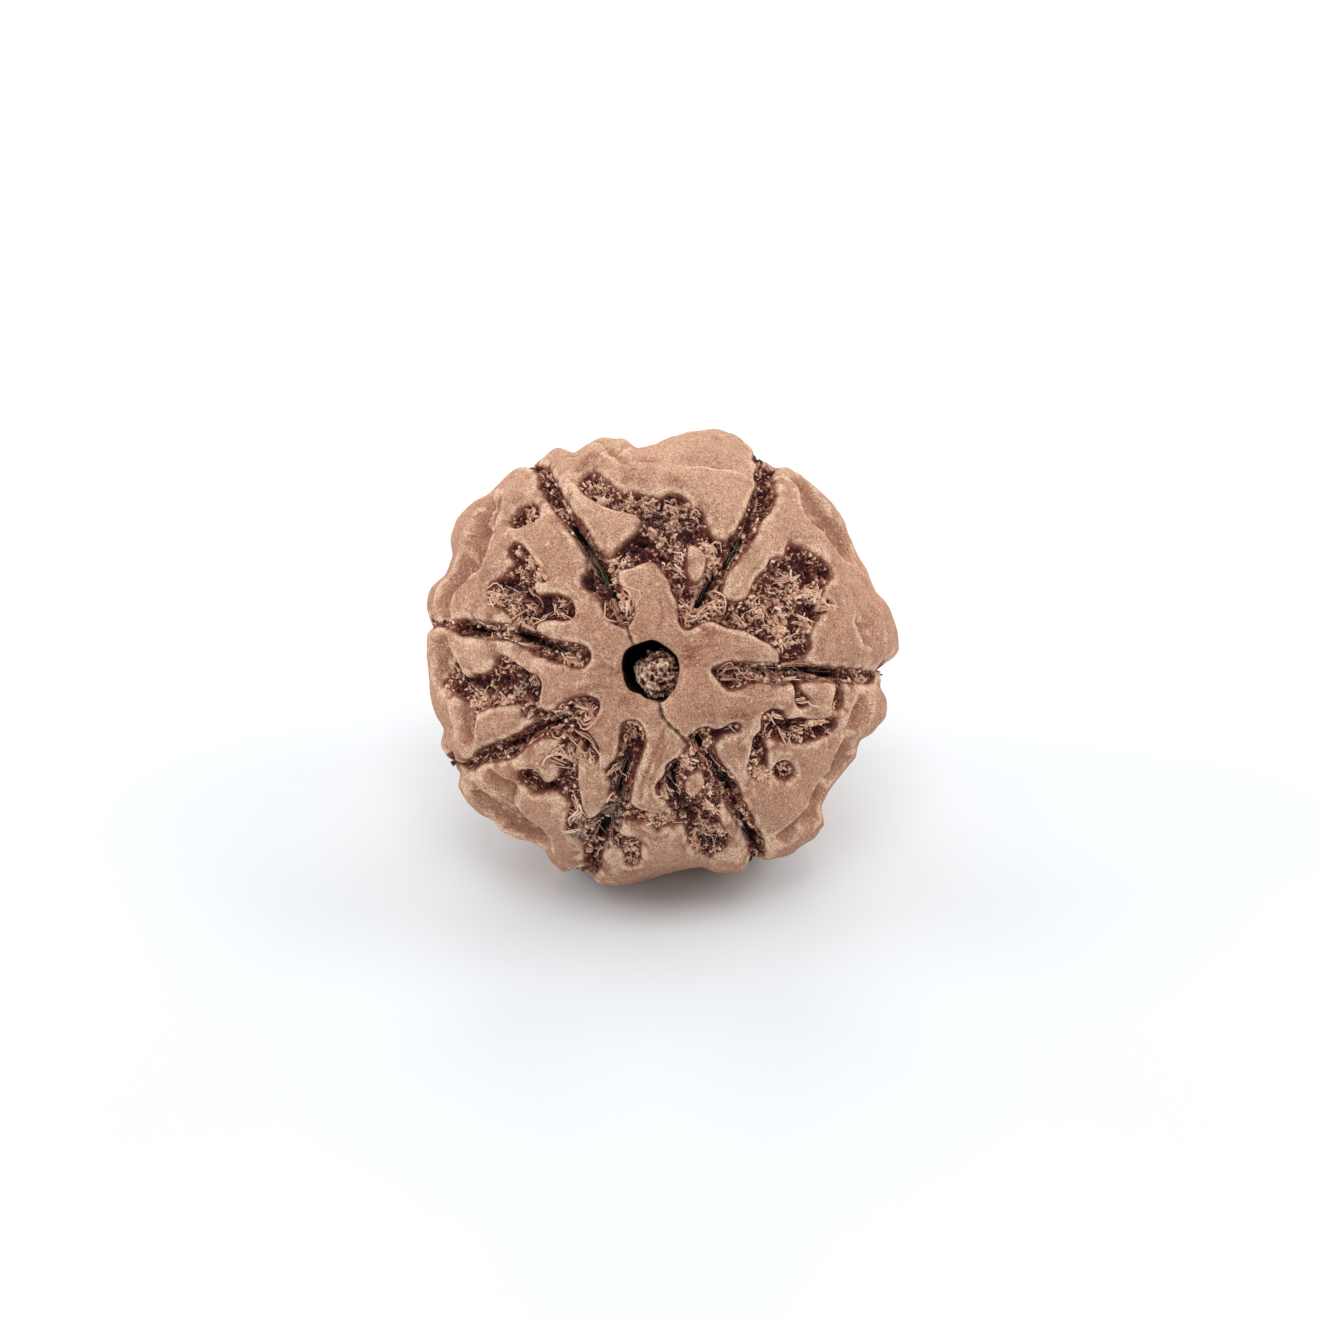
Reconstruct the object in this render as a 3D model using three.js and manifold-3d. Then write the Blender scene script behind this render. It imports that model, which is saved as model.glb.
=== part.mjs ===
// A rudraksha seed: the woody stone of a rudraksha fruit, cleaned of its pulp.
// Seven grooves run over it from mouth to mouth, with worn plates and open pits between them.
// A channel runs through it along its axis, and a crumbly plug of pith is left in the front mouth.
// It lies on its side with the front mouth looking out and up. Millimetres, +Z up, resting on z = 0.

import * as THREE from 'three';
import { mergeVertices } from 'three/addons/utils/BufferGeometryUtils.js';
import Module from 'manifold-3d';

// The stone is drawn with its front mouth up: x and y across it, z along its channel.
const half_length = 10.7;
const front_mouth = [-0.55, -0.65];
const mouth_size = 1.45;
const mouth_rim_width = 0.5;
const mouth_rim_drop = 0.55;
const channel_waist = 0.72;

// How it lies: the front mouth looks this far above the level, and the low side has a flat spot.
const mouth_rise_deg = 33;
const flat_spot_depth = 0.4;
const flat_spot_calm = [2.6, 4.4];

// Relief: how deep pits, grooves and side valleys go, and how their edges are rounded.
const pit_depth = 1.0;
const valley_depth = 0.6;
const valley_softness = 0.6;
const groove_depth_by_mouth = 2.0;
const groove_depth_at_waist = 0.4;
const edge_lip = 0.3;
const edge_wall = 0.38;
const corner_rounding = 0.12;
const plate_crown = 0.2;
const plate_crown_width = 0.7;

// The waist, the belt halfway between the mouths: its angle from the front mouth and its width.
const waist_deg = 94;
const waist_band_deg = 30;
const waist_softness = 2.2;

// A slow swell of the plates, made of a few waves.
const swell_height = 0.12;
const swell_length = 4.2;
const swell_count = 9;

// Fineness of the surface: rows along an edge of the starting shape, and how much finer the front is.
const surface_rows = 22;
const front_fineness = 0.3;
const slide_reach = 0.42;
const merge_distance = 1e-5;

// The plug of pith: place from the front mouth's middle, size, and how far it sits in the channel.
const pith_middle = [0.42, -0.3];
const pith_radius = 1.18;
const pith_top_sunk = 0.55;
const pith_top_taper = 0.18;
const pith_length = 5.5;
const pith_sides = 11;
const pith_rows = 5;

// The channel's wall: sides round it, rows along it, and how far its cut runs past both mouths.
const channel_sides = 22;
const channel_rows = 8;
const channel_overrun = 2;

// Points of the stone's outline from the front mouth's middle, seen along the channel.
const outline = [
  [11.7, 0.2], [12.25, 1.0], [12.2, 1.9], [11.75, 3.0], [10.95, 3.9], [10.6, 4.8], [10.1, 5.6], [9.7, 6.6],
  [9.4, 7.4], [8.8, 8.3], [8.2, 9.0], [7.5, 9.6], [6.8, 9.95], [6.05, 10.0], [5.6, 10.55], [4.9, 11.1],
  [4.1, 11.6], [3.2, 11.75], [2.2, 11.55], [1.1, 11.3], [0.2, 11.0], [-0.6, 10.9], [-1.3, 11.4],
  [-2.4, 11.45], [-3.1, 11.15], [-3.7, 10.65], [-4.5, 10.85], [-5.2, 10.35], [-6.2, 10.05], [-7.2, 9.4],
  [-8.0, 8.7], [-8.7, 8.3], [-9.4, 7.45], [-9.75, 6.6], [-9.8, 5.6], [-10.1, 4.8], [-10.8, 4.0],
  [-11.05, 3.0], [-11.15, 1.8], [-10.95, 0.9], [-10.8, -0.5], [-10.6, -1.9], [-10.2, -2.9], [-10.35, -3.8],
  [-10.1, -4.7], [-9.35, -5.05], [-9.4, -5.8], [-8.9, -6.5], [-8.3, -7.0], [-7.6, -7.35], [-7.2, -7.8],
  [-6.6, -8.1], [-5.9, -8.35], [-5.2, -8.8], [-4.8, -9.5], [-4.3, -10.1], [-3.6, -10.2], [-3.1, -10.1],
  [-2.4, -10.45], [-1.4, -10.4], [-0.4, -10.2], [0.6, -9.95], [1.8, -9.75], [2.5, -9.65], [3.4, -9.95],
  [4.6, -10.0], [5.15, -9.4], [6.0, -9.4], [7.1, -9.0], [8.0, -8.25], [8.45, -7.5], [8.35, -6.6],
  [8.8, -5.9], [9.5, -5.15], [10.1, -4.3], [10.25, -3.4], [10.9, -2.85], [11.45, -2.2], [11.55, -1.5],
  [11.35, -0.8],
];

// The front mouth's edge, as [angle in degrees, radius].
const mouth_edge = [
  [0, 1.46], [25, 1.45], [50, 1.38], [90, 1.5], [120, 1.45], [150, 1.5], [185, 1.42], [215, 1.42],
  [245, 1.32], [270, 1.45], [290, 1.65], [310, 1.55], [335, 1.5],
];

// Marks on the front: lines of points [x, y, half-width] from the front mouth's middle.
const front_grooves = [
  [[-5.7, 10.5, 0.3], [-5.1, 9.3, 0.45], [-4.8, 8.6, 0.45], [-4.3, 7.9, 0.35], [-3.6, 7.1, 0.3],
    [-2.8, 5.7, 0.3], [-2.1, 4.5, 0.3], [-1.7, 3.7, 0.5], [-1.6, 3.1, 0.5], [-1.3, 2.5, 0.3]],
  [[6.0, 10.3, 0.3], [5.8, 9.4, 0.4], [5.5, 8.6, 0.45], [5.2, 7.8, 0.35], [4.6, 6.6, 0.35],
    [4.0, 5.7, 0.3], [3.2, 4.9, 0.35], [2.7, 3.6, 0.4], [2.1, 2.8, 0.45]],
  [[11.9, -0.55, 0.3], [10.4, -0.35, 0.38], [9.6, -0.35, 0.4], [8.2, -0.05, 0.38], [6.3, -0.1, 0.4],
    [4.6, -0.15, 0.5], [3.9, -0.2, 0.5], [3.2, -0.15, 0.3]],
  [[5.5, -9.7, 0.22], [5.2, -8.3, 0.35], [4.75, -7.5, 0.38], [4.35, -6.8, 0.4], [3.9, -5.7, 0.45],
    [3.1, -4.9, 0.4], [2.6, -4.1, 0.4], [2.3, -3.4, 0.35]],
  [[-3.3, -10.2, 0.22], [-3.0, -9.4, 0.3], [-2.6, -8.6, 0.55], [-2.3, -7.9, 0.65], [-1.8, -7.1, 0.5],
    [-1.5, -6.0, 0.45], [-1.3, -5.0, 0.48], [-0.9, -4.0, 0.5], [-0.85, -3.2, 0.45]],
  [[-9.9, -5.2, 0.15], [-9.0, -4.8, 0.22], [-8.2, -4.35, 0.3], [-6.9, -3.85, 0.45], [-5.9, -3.2, 0.4],
    [-5.0, -2.8, 0.4], [-4.0, -2.3, 0.5], [-3.2, -1.9, 0.5]],
  [[-11.2, 2.3, 0.15], [-10.2, 2.15, 0.22], [-9.4, 2.2, 0.48], [-8.4, 1.95, 0.4], [-7.2, 1.85, 0.4],
    [-6.0, 1.5, 0.45], [-4.6, 1.0, 0.45], [-3.4, 0.75, 0.45]],
];
const front_pits = [
  [[-6.9, 7.3, 0.35], [-6.3, 7.6, 0.45], [-5.7, 7.9, 0.35]],
  [[-6.5, 5.9, 0.5], [-6.0, 5.6, 0.4], [-5.1, 4.7, 0.2]],
  [[-6.0, 5.0, 0.3], [-6.9, 4.1, 0.75], [-7.5, 3.8, 0.5], [-6.7, 3.3, 0.5], [-6.5, 2.4, 0.38]],
  [[-6.0, 3.4, 0.35], [-5.0, 3.3, 0.38], [-4.1, 3.0, 0.42]],
  [[-3.1, 4.5, 0.33], [-2.3, 4.2, 0.33]],
  [[-2.7, 9.8, 0.25], [-2.8, 9.2, 0.3], [-1.6, 8.6, 0.38], [0.0, 8.1, 0.45], [1.0, 8.0, 0.55],
    [1.9, 7.9, 0.45], [2.6, 6.9, 0.35], [3.4, 5.9, 0.3]],
  [[0.9, 7.7, 0.6], [0.6, 6.8, 0.6], [-0.5, 6.1, 0.4], [-1.7, 5.45, 0.33]],
  [[0.9, 6.6, 0.5], [0.9, 5.6, 0.42], [1.3, 4.8, 0.35], [1.5, 3.6, 0.3], [1.7, 2.5, 0.32]],
  [[2.1, 2.7, 0.4], [2.9, 2.8, 0.45], [3.7, 2.3, 0.2]],
  [[8.8, 4.7, 0.35], [8.1, 5.3, 0.45], [7.3, 6.0, 0.35], [6.6, 5.3, 0.45], [6.0, 4.8, 0.35], [5.5, 4.1, 0.3],
    [5.5, 3.2, 0.3], [5.2, 2.6, 0.3], [4.1, 2.9, 0.25]],
  [[7.4, 5.1, 0.4], [7.9, 4.5, 0.2], [7.8, 3.7, 0.18], [8.0, 3.1, 0.35], [7.2, 2.8, 0.4], [6.7, 2.1, 0.5],
    [7.1, 1.4, 0.55], [6.9, 0.6, 0.3]],
  [[6.8, 4.6, 0.2], [6.85, 3.7, 0.15], [6.9, 2.9, 0.3], [6.0, 2.8, 0.25]],
  [[-8.3, -0.9, 0.8], [-7.3, -0.4, 0.55], [-6.0, -0.9, 0.45], [-6.0, -2.0, 0.3], [-5.3, -2.5, 0.3]],
  [[-7.2, -1.1, 0.5], [-9.0, -1.4, 0.45], [-9.8, -0.5, 0.3]],
  [[-6.4, -5.15, 0.3], [-6.0, -5.25, 0.38], [-5.7, -5.85, 0.36], [-5.1, -5.9, 0.22], [-4.3, -5.9, 0.3]],
  [[-4.0, -2.6, 0.4], [-4.05, -3.6, 0.4], [-4.17, -4.5, 0.45], [-4.15, -5.3, 0.38], [-3.8, -6.5, 0.35],
    [-3.75, -7.8, 0.4], [-2.9, -8.1, 0.35]],
  [[-3.5, -3.2, 0.2], [-3.0, -3.75, 0.22], [-2.75, -4.4, 0.2]],
  [[-1.9, -5.0, 0.25], [-1.5, -5.1, 0.3]],
  [[-1.4, -6.9, 0.3], [-0.6, -7.4, 0.25], [0.3, -7.6, 0.2], [1.2, -7.3, 0.35]],
  [[-1.9, -8.3, 0.3], [-1.1, -8.6, 0.28], [-0.8, -9.0, 0.32], [-0.95, -9.6, 0.2]],
  [[1.5, -4.4, 0.3], [1.1, -5.0, 0.32], [1.1, -5.7, 0.45], [1.4, -6.8, 0.4], [2.4, -7.0, 0.4],
    [3.0, -6.3, 0.32], [3.3, -5.6, 0.35]],
  [[1.7, -7.4, 0.3], [2.6, -7.8, 0.5], [2.8, -8.6, 0.5], [3.3, -8.9, 0.32]],
  [[0.6, -7.7, 0.22], [0.75, -8.4, 0.14]],
  [[1.8, -2.95, 0.2], [2.6, -3.2, 0.3], [3.6, -3.2, 0.3], [4.3, -2.7, 0.2]],
  [[7.35, -1.1, 0.3], [7.6, -1.7, 0.35]],
  [[9.4, -1.0, 0.18], [9.3, -1.7, 0.3]],
  [[6.1, -2.4, 0.4], [5.8, -3.0, 0.42], [5.3, -3.7, 0.3], [5.35, -4.4, 0.35], [5.45, -5.0, 0.45]],
  [[6.3, -2.9, 0.35], [7.4, -3.0, 0.45], [8.1, -3.2, 0.35], [8.8, -2.9, 0.32]],
  [[6.5, -4.95, 0.38], [6.8, -5.05, 0.38]],
];
const front_islands = [
  [[2.15, -6.0, 0.42], [2.45, -5.4, 0.45]],
  [[-1.9, -9.3, 0.5], [-1.9, -9.8, 0.55]],
  [[2.2, 6.1, 0.42], [2.2, 4.6, 0.42]],
];
const front_valleys = [
  [[-8.1, 7.9, 0.4], [-8.4, 6.8, 0.4], [-8.6, 5.7, 0.4]],
  [[-9.3, 4.9, 0.35], [-9.9, 4.1, 0.35], [-10.2, 3.4, 0.3]],
  [[-10.35, 1.1, 0.25], [-10.3, 0.0, 0.25]],
  [[-9.2, -2.1, 0.3], [-9.1, -3.1, 0.3]],
  [[-7.8, -5.45, 0.3], [-7.1, -5.85, 0.35]],
  [[-8.4, -6.35, 0.3], [-7.6, -6.85, 0.3]],
  [[-6.6, -7.6, 0.3], [-6.0, -7.9, 0.3]],
  [[10.7, 2.0, 0.5], [10.9, 1.6, 0.4]],
  [[10.25, -2.3, 0.35], [10.5, -2.0, 0.3]],
  [[9.5, -4.0, 0.25], [9.4, -4.9, 0.3]],
  [[8.3, -5.9, 0.25], [8.1, -6.6, 0.3], [7.7, -7.2, 0.25], [7.0, -8.0, 0.3]],
  [[7.6, 9.2, 0.35], [8.4, 7.7, 0.4], [9.4, 6.5, 0.35]],
  [[1.5, 10.1, 0.35], [3.2, 10.2, 0.35], [4.8, 10.0, 0.35]],
  [[-1.9, 10.7, 0.3], [-1.2, 10.2, 0.3]],
];

// Grooves on the unseen side: steps down it, a slight wander, widths, and where they stop.
const groove_step_deg = 6;
const groove_wander_deg = 3.5;
const groove_wander_rate = 3;
const groove_side_width = 0.26;
const groove_back_width = 0.45;
const groove_opens_deg = [110, 160];
const groove_end_from_mouth = 2.7;

// Pits on the unseen sides, scattered by a rule that keeps these distances between them.
const scatter_seed = 20417;
const scatter_tries = 5200;
const scatter_from_deg = 76;
const scatter_to_deg = 166;
const scatter_step = 1.05;
const scatter_turn = 1.7;
const scatter_gap = 2.1;
const scatter_gap_to_groove = 1.35;
const scatter_gap_to_mouth = 2.9;
const scatter_gap_to_flat = 3.7;
const scatter_width = [0.36, 0.62];

const degrees = Math.PI / 180;
const smooth_step = (low, high, value) => THREE.MathUtils.smoothstep(value, low, high);
const turn_back = (angle) => THREE.MathUtils.euclideanModulo(angle, 360);

// Random draws from 0 to 1, the same on each run
let draw_state = scatter_seed;
function draw() {
  draw_state = (draw_state * 1664525 + 1013904223) % 4294967296;
  return draw_state / 4294967296;
}

// A closed curve of radius by angle, through given [angle, radius] points
function radius_curve(points) {
  const sorted = points.map(([angle, radius]) => [turn_back(angle), radius]);
  sorted.sort((a, b) => a[0] - b[0]);
  const count = sorted.length;
  return (angle) => {
    const turned = turn_back(angle);
    const next = Math.max(sorted.findIndex(([at]) => at > turned), 0);
    const before = sorted[(next + count - 1) % count];
    const after = sorted[next];
    const along = turn_back(turned - before[0]) / (turn_back(after[0] - before[0]) || 360);
    const eased = along * along * (3 - 2 * along);
    return before[1] + (after[1] - before[1]) * (along + eased) / 2;
  };
}

// The outline's radius about the stone's middle, and the same with its bumps averaged away
const outline_radius = radius_curve(outline.map(([x, y]) => {
  const across = x + front_mouth[0];
  const up = y + front_mouth[1];
  return [Math.atan2(up, across) / degrees, Math.hypot(across, up)];
}));
const averaged_arc_deg = 28;
const plain_radius = radius_curve([...Array(12).keys()].map((hour) => {
  const shifts = [-1, -0.75, -0.5, -0.25, 0, 0.25, 0.5, 0.75, 1];
  const radii = shifts.map((shift) => outline_radius(30 * hour + averaged_arc_deg * shift));
  return [30 * hour, radii.reduce((sum, radius) => sum + radius, 0) / radii.length];
}));
const mouth_radius = radius_curve(mouth_edge);

// The smooth stone: a point by the angle about its channel and the angle down from the front mouth
function smooth_stone(turn_deg, down_deg) {
  const band = Math.exp(-(((down_deg - 90) / waist_band_deg) ** 2));
  const plain = plain_radius(turn_deg);
  const radius = plain + (outline_radius(turn_deg) - plain) * band;
  const across = radius * Math.sin(down_deg * degrees);
  return new THREE.Vector3(
    across * Math.cos(turn_deg * degrees),
    across * Math.sin(turn_deg * degrees),
    half_length * Math.cos(down_deg * degrees),
  );
}

// The angles of a place that is given by x and y from the front mouth
const steepest_share = 0.985;
function angles_of_place(x, y) {
  const across = x + front_mouth[0];
  const up = y + front_mouth[1];
  const turn = Math.atan2(up, across) / degrees;
  const share = Math.hypot(across, up) / outline_radius(turn);
  return [turn, Math.asin(Math.min(share, steepest_share)) / degrees];
}
const place_on_front = (x, y) => smooth_stone(...angles_of_place(x, y));

// Lays a line of marks on the front, with each width measured along the surface
function lay_on_front(line) {
  return line.map(([x, y, half_width], index) => {
    const before = line[Math.max(index - 1, 0)];
    const after = line[Math.min(index + 1, line.length - 1)];
    const heading = Math.hypot(after[0] - before[0], after[1] - before[1]);
    const side_x = -(after[1] - before[1]) / heading * half_width;
    const side_y = (after[0] - before[0]) / heading * half_width;
    const left = place_on_front(x + side_x, y + side_y);
    const right = place_on_front(x - side_x, y - side_y);
    return { at: place_on_front(x, y), half_width: left.distanceTo(right) / 2 };
  });
}

// Grooves go on over the rim and down the unseen side to the back mouth
const back_mouth = new THREE.Vector3(-front_mouth[0], -front_mouth[1], -half_length);
function groove_down_side(line, index) {
  const [start_turn, start_down] = angles_of_place(line[0][0], line[0][1]);
  const rows = [];
  for (let down = start_down; down < 180; down += groove_step_deg) {
    const phase = (down - start_down) * groove_wander_rate * degrees + index;
    const at = smooth_stone(start_turn + groove_wander_deg * Math.sin(phase), down);
    if (at.distanceTo(back_mouth) < groove_end_from_mouth) break;
    const opened = smooth_step(groove_opens_deg[0], groove_opens_deg[1], down);
    rows.push({ at, half_width: THREE.MathUtils.lerp(groove_side_width, groove_back_width, opened) });
  }
  return rows;
}

const grooves = front_grooves.map((line, index) => [
  ...groove_down_side(line, index).reverse(),
  ...lay_on_front(line),
]);
const pits = front_pits.map(lay_on_front);
const islands = front_islands.map(lay_on_front);
const valleys = front_valleys.map(lay_on_front);

// Where the stone touches what it lies on
function find_flat_spot() {
  const rise = mouth_rise_deg * degrees;
  const downward = new THREE.Vector3(0, -Math.cos(rise), -Math.sin(rise));
  let lowest = smooth_stone(270, 90);
  for (let down = 90; down < 150; down += 1) {
    for (let turn = 240; turn < 300; turn += 1) {
      const at = smooth_stone(turn, down);
      if (at.dot(downward) > lowest.dot(downward)) lowest = at;
    }
  }
  return lowest;
}
const flat_spot = find_flat_spot();

// Scattered pits of two to four steps, each kept clear of what is there already
const is_near = (at, lines, gap) => lines.some((line) => line.some((row) => at.distanceTo(row.at) < gap));
const groove_middles = grooves.map((line) => line.slice(1).map((row, index) => (
  { at: row.at.clone().lerp(line[index].at, 0.5) })));
function room_for_pit(at, others) {
  return at.distanceTo(back_mouth) > scatter_gap_to_mouth
    && at.distanceTo(flat_spot) > scatter_gap_to_flat
    && !is_near(at, grooves, scatter_gap_to_groove)
    && !is_near(at, groove_middles, scatter_gap_to_groove)
    && !is_near(at, others, scatter_gap);
}
const scattered = [];
for (let tries = 0; tries < scatter_tries; tries += 1) {
  const height = THREE.MathUtils.lerp(
    Math.cos(scatter_to_deg * degrees),
    Math.cos(scatter_from_deg * degrees),
    draw(),
  );
  let down = Math.acos(height) / degrees;
  let turn = 360 * draw();
  let heading = 2 * Math.PI * draw();
  const steps = 2 + Math.floor(3 * draw());
  const half_width = THREE.MathUtils.lerp(scatter_width[0], scatter_width[1], draw());
  const others = [...pits, ...valleys, ...scattered];
  const line = [];
  for (let step = 0; step < steps; step += 1) {
    const at = smooth_stone(turn, down);
    if (!room_for_pit(at, others)) break;
    line.push({ at, half_width: half_width * (0.8 + 0.4 * draw()) });
    heading += scatter_turn * (draw() - 0.5);
    down += Math.cos(heading) * scatter_step / (half_length * degrees);
    turn += Math.sin(heading) * scatter_step / (Math.hypot(at.x, at.y) * degrees);
  }
  if (line.length > 1) scattered.push(line);
}

// Distance from a point to a group of lines, less their half-widths: below zero is inside a mark
const farthest_felt = 2.5;
function marks_field(lines) {
  const pieces = lines.flatMap((line) => line.slice(1).map((end, index) => ({
    start: line[index].at,
    run: end.at.clone().sub(line[index].at),
    start_width: line[index].half_width,
    width_gain: end.half_width - line[index].half_width,
  })));
  const offset = new THREE.Vector3();
  return (at) => {
    let sum = Math.exp(-farthest_felt / corner_rounding);
    for (const piece of pieces) {
      offset.subVectors(at, piece.start);
      const along = THREE.MathUtils.clamp(offset.dot(piece.run) / piece.run.lengthSq(), 0, 1);
      offset.addScaledVector(piece.run, -along);
      const distance = offset.length() - piece.start_width - piece.width_gain * along;
      if (distance < farthest_felt) sum += Math.exp(-distance / corner_rounding);
    }
    return -corner_rounding * Math.log(sum);
  };
}
const to_front_pits = marks_field(pits);
const to_scattered_pits = marks_field(scattered);
const to_islands = marks_field(islands);
const to_grooves = marks_field(grooves);
const to_valleys = marks_field(valleys);
const to_pits = (at) => Math.max(Math.min(to_front_pits(at), to_scattered_pits(at)), -to_islands(at));
function from_mouth(at) {
  if (Math.abs(at.z) < half_length / 2) return farthest_felt;
  const side = Math.sign(at.z);
  return Math.hypot(at.x - front_mouth[0] * side, at.y - front_mouth[1] * side) - mouth_size;
}

// The swell of the plates at a point
const swell_waves = [...Array(swell_count).keys()].map(() => {
  const direction = new THREE.Vector3(draw() - 0.5, draw() - 0.5, draw() - 0.5).normalize();
  return { direction: direction.multiplyScalar(2 * Math.PI / swell_length), start: 2 * Math.PI * draw() };
});
function swell(at) {
  const sum = swell_waves.reduce((total, wave) => total + Math.sin(at.dot(wave.direction) + wave.start), 0);
  return sum / Math.sqrt(swell_count);
}

// How far the real surface stands from the smooth stone, along a line from its middle
function relief(at, down_deg) {
  const near_waist = Math.exp(-(((down_deg - waist_deg) / waist_band_deg) ** 2));
  const pit_lip = edge_lip * THREE.MathUtils.lerp(1, waist_softness, near_waist);
  const groove_depth = THREE.MathUtils.lerp(groove_depth_by_mouth, groove_depth_at_waist, near_waist);
  const to_pit = to_pits(at);
  const to_groove = to_grooves(at);
  const in_pit = 1 - smooth_step(-edge_wall, pit_lip, to_pit);
  const in_groove = 1 - smooth_step(-edge_wall, edge_lip, to_groove);
  const in_valley = 1 - smooth_step(-valley_softness, valley_softness, to_valleys(at));
  const to_edge = Math.max(Math.min(to_pit, to_groove), 0);
  const crown = plate_crown * (0.6 - Math.exp(-to_edge / plate_crown_width));
  const rim = mouth_rim_drop * (1 - smooth_step(-mouth_rim_width, mouth_rim_width, from_mouth(at)));
  const cut = Math.max(pit_depth * in_pit, groove_depth * in_groove, valley_depth * in_valley);
  const calm = smooth_step(flat_spot_calm[0], flat_spot_calm[1], at.distanceTo(flat_spot));
  return calm * (swell_height * swell(at) + crown - cut) - rim;
}

// Slides a point of the smooth stone along it, onto the nearest upper or lower edge of a mark
const slope_probe = 0.02;
const gentlest_slope = 0.5;
function slide_to_edge(turn_deg, down_deg, spacing) {
  const edge_distance = (turn, down) => {
    const at = smooth_stone(turn, down);
    return Math.min(to_pits(at), to_grooves(at));
  };
  const here = edge_distance(turn_deg, down_deg);
  const to_upper = edge_lip - here;
  const to_lower = -edge_wall - here;
  const wanted = Math.abs(to_upper) < Math.abs(to_lower) ? to_upper : to_lower;
  if (Math.abs(wanted) > slide_reach * spacing) return [turn_deg, down_deg];
  const around = Math.max(plain_radius(turn_deg) * Math.sin(down_deg * degrees), 1) * degrees;
  const along = half_length * degrees;
  const slope_around = (edge_distance(turn_deg + slope_probe / around, down_deg) - here) / slope_probe;
  const slope_along = (edge_distance(turn_deg, down_deg + slope_probe / along) - here) / slope_probe;
  const slide = wanted / Math.max(slope_around ** 2 + slope_along ** 2, gentlest_slope);
  return [turn_deg + slide * slope_around / around, down_deg + slide * slope_along / along];
}

// A geometry with only its points and faces left, and each point kept once
function closed_mesh(geometry) {
  geometry.deleteAttribute('normal');
  geometry.deleteAttribute('uv');
  return mergeVertices(geometry, merge_distance);
}

// The stone's surface, finer round the front mouth than at the back
function stone_surface() {
  const geometry = closed_mesh(new THREE.IcosahedronGeometry(1, surface_rows));
  const position = geometry.getAttribute('position');
  const direction = new THREE.Vector3();
  const mean_spacing = 1.1 * half_length / surface_rows;
  for (let index = 0; index < position.count; index += 1) {
    direction.fromBufferAttribute(position, index).normalize();
    const share = Math.acos(THREE.MathUtils.clamp(direction.z, -1, 1)) / Math.PI;
    const even_down = 180 * share * (1 - front_fineness + front_fineness * share);
    const even_turn = Math.atan2(direction.y, direction.x) / degrees;
    const spacing = mean_spacing * (1 - front_fineness + 2 * front_fineness * share);
    const [turn_deg, down_deg] = slide_to_edge(even_turn, even_down, spacing);
    const smooth = smooth_stone(turn_deg, down_deg);
    const moved = smooth.clone().multiplyScalar(1 + relief(smooth, down_deg) / smooth.length());
    position.setXYZ(index, moved.x, moved.y, moved.z);
  }
  return geometry;
}

// A round bar along the channel, with a rule for its radius, leaning as the channel leans
function channel_bar(sides, rows, low, high, radius_at, middle) {
  const cylinder = new THREE.CylinderGeometry(1, 1, 1, sides, rows);
  const geometry = closed_mesh(cylinder.rotateX(Math.PI / 2));
  const position = geometry.getAttribute('position');
  for (let index = 0; index < position.count; index += 1) {
    const z = THREE.MathUtils.lerp(low, high, position.getZ(index) + 0.5);
    const turn = Math.atan2(position.getY(index), position.getX(index));
    const share = Math.hypot(position.getX(index), position.getY(index));
    const radius = share * radius_at(turn / degrees, z);
    const lean = z / half_length;
    position.setXYZ(
      index,
      middle[0] + front_mouth[0] * lean + radius * Math.cos(turn),
      middle[1] + front_mouth[1] * lean + radius * Math.sin(turn),
      z,
    );
  }
  return geometry;
}

// The channel: open at both mouths and narrower at its waist
function channel() {
  const end = half_length + channel_overrun;
  const radius_at = (turn, z) => {
    const share = Math.min(Math.abs(z) / half_length, 1);
    return mouth_radius(turn) * THREE.MathUtils.lerp(channel_waist, 1, share ** 2);
  };
  return channel_bar(channel_sides, channel_rows, -end, end, radius_at, [0, 0]);
}

// The plug of pith: a ragged lump, grown to the channel's wall on its lower right
function pith() {
  const top = half_length - pith_top_sunk;
  const radius_at = (turn, z) => {
    const angle = turn * degrees;
    const ragged = 1 + 0.07 * Math.sin(3 * angle + 2.1 * z) + 0.05 * Math.sin(5 * angle - z);
    return pith_radius * ragged * (1 - pith_top_taper * smooth_step(top - 0.5, top, z));
  };
  return channel_bar(pith_sides, pith_rows, top - pith_length, top, radius_at, pith_middle);
}

// Turns a closed mesh into a solid that can be cut and joined, and back
const wasm = await Module();
wasm.setup();
function solid_of(geometry) {
  return new wasm.Manifold(new wasm.Mesh({
    numProp: 3,
    vertProperties: new Float32Array(geometry.getAttribute('position').array),
    triVerts: new Uint32Array(geometry.index.array),
  }));
}
function mesh_of(solid) {
  const mesh = solid.getMesh();
  const geometry = new THREE.BufferGeometry();
  geometry.setAttribute('position', new THREE.BufferAttribute(new Float32Array(mesh.vertProperties), 3));
  geometry.setIndex(new THREE.BufferAttribute(new Uint32Array(mesh.triVerts), 1));
  return geometry;
}

// The stone with its channel cut through and the pith joined to it
function seed_stone() {
  const body = solid_of(stone_surface());
  const plug = solid_of(pith()).intersect(body);
  return mesh_of(body.subtract(solid_of(channel())).add(plug));
}

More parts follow.
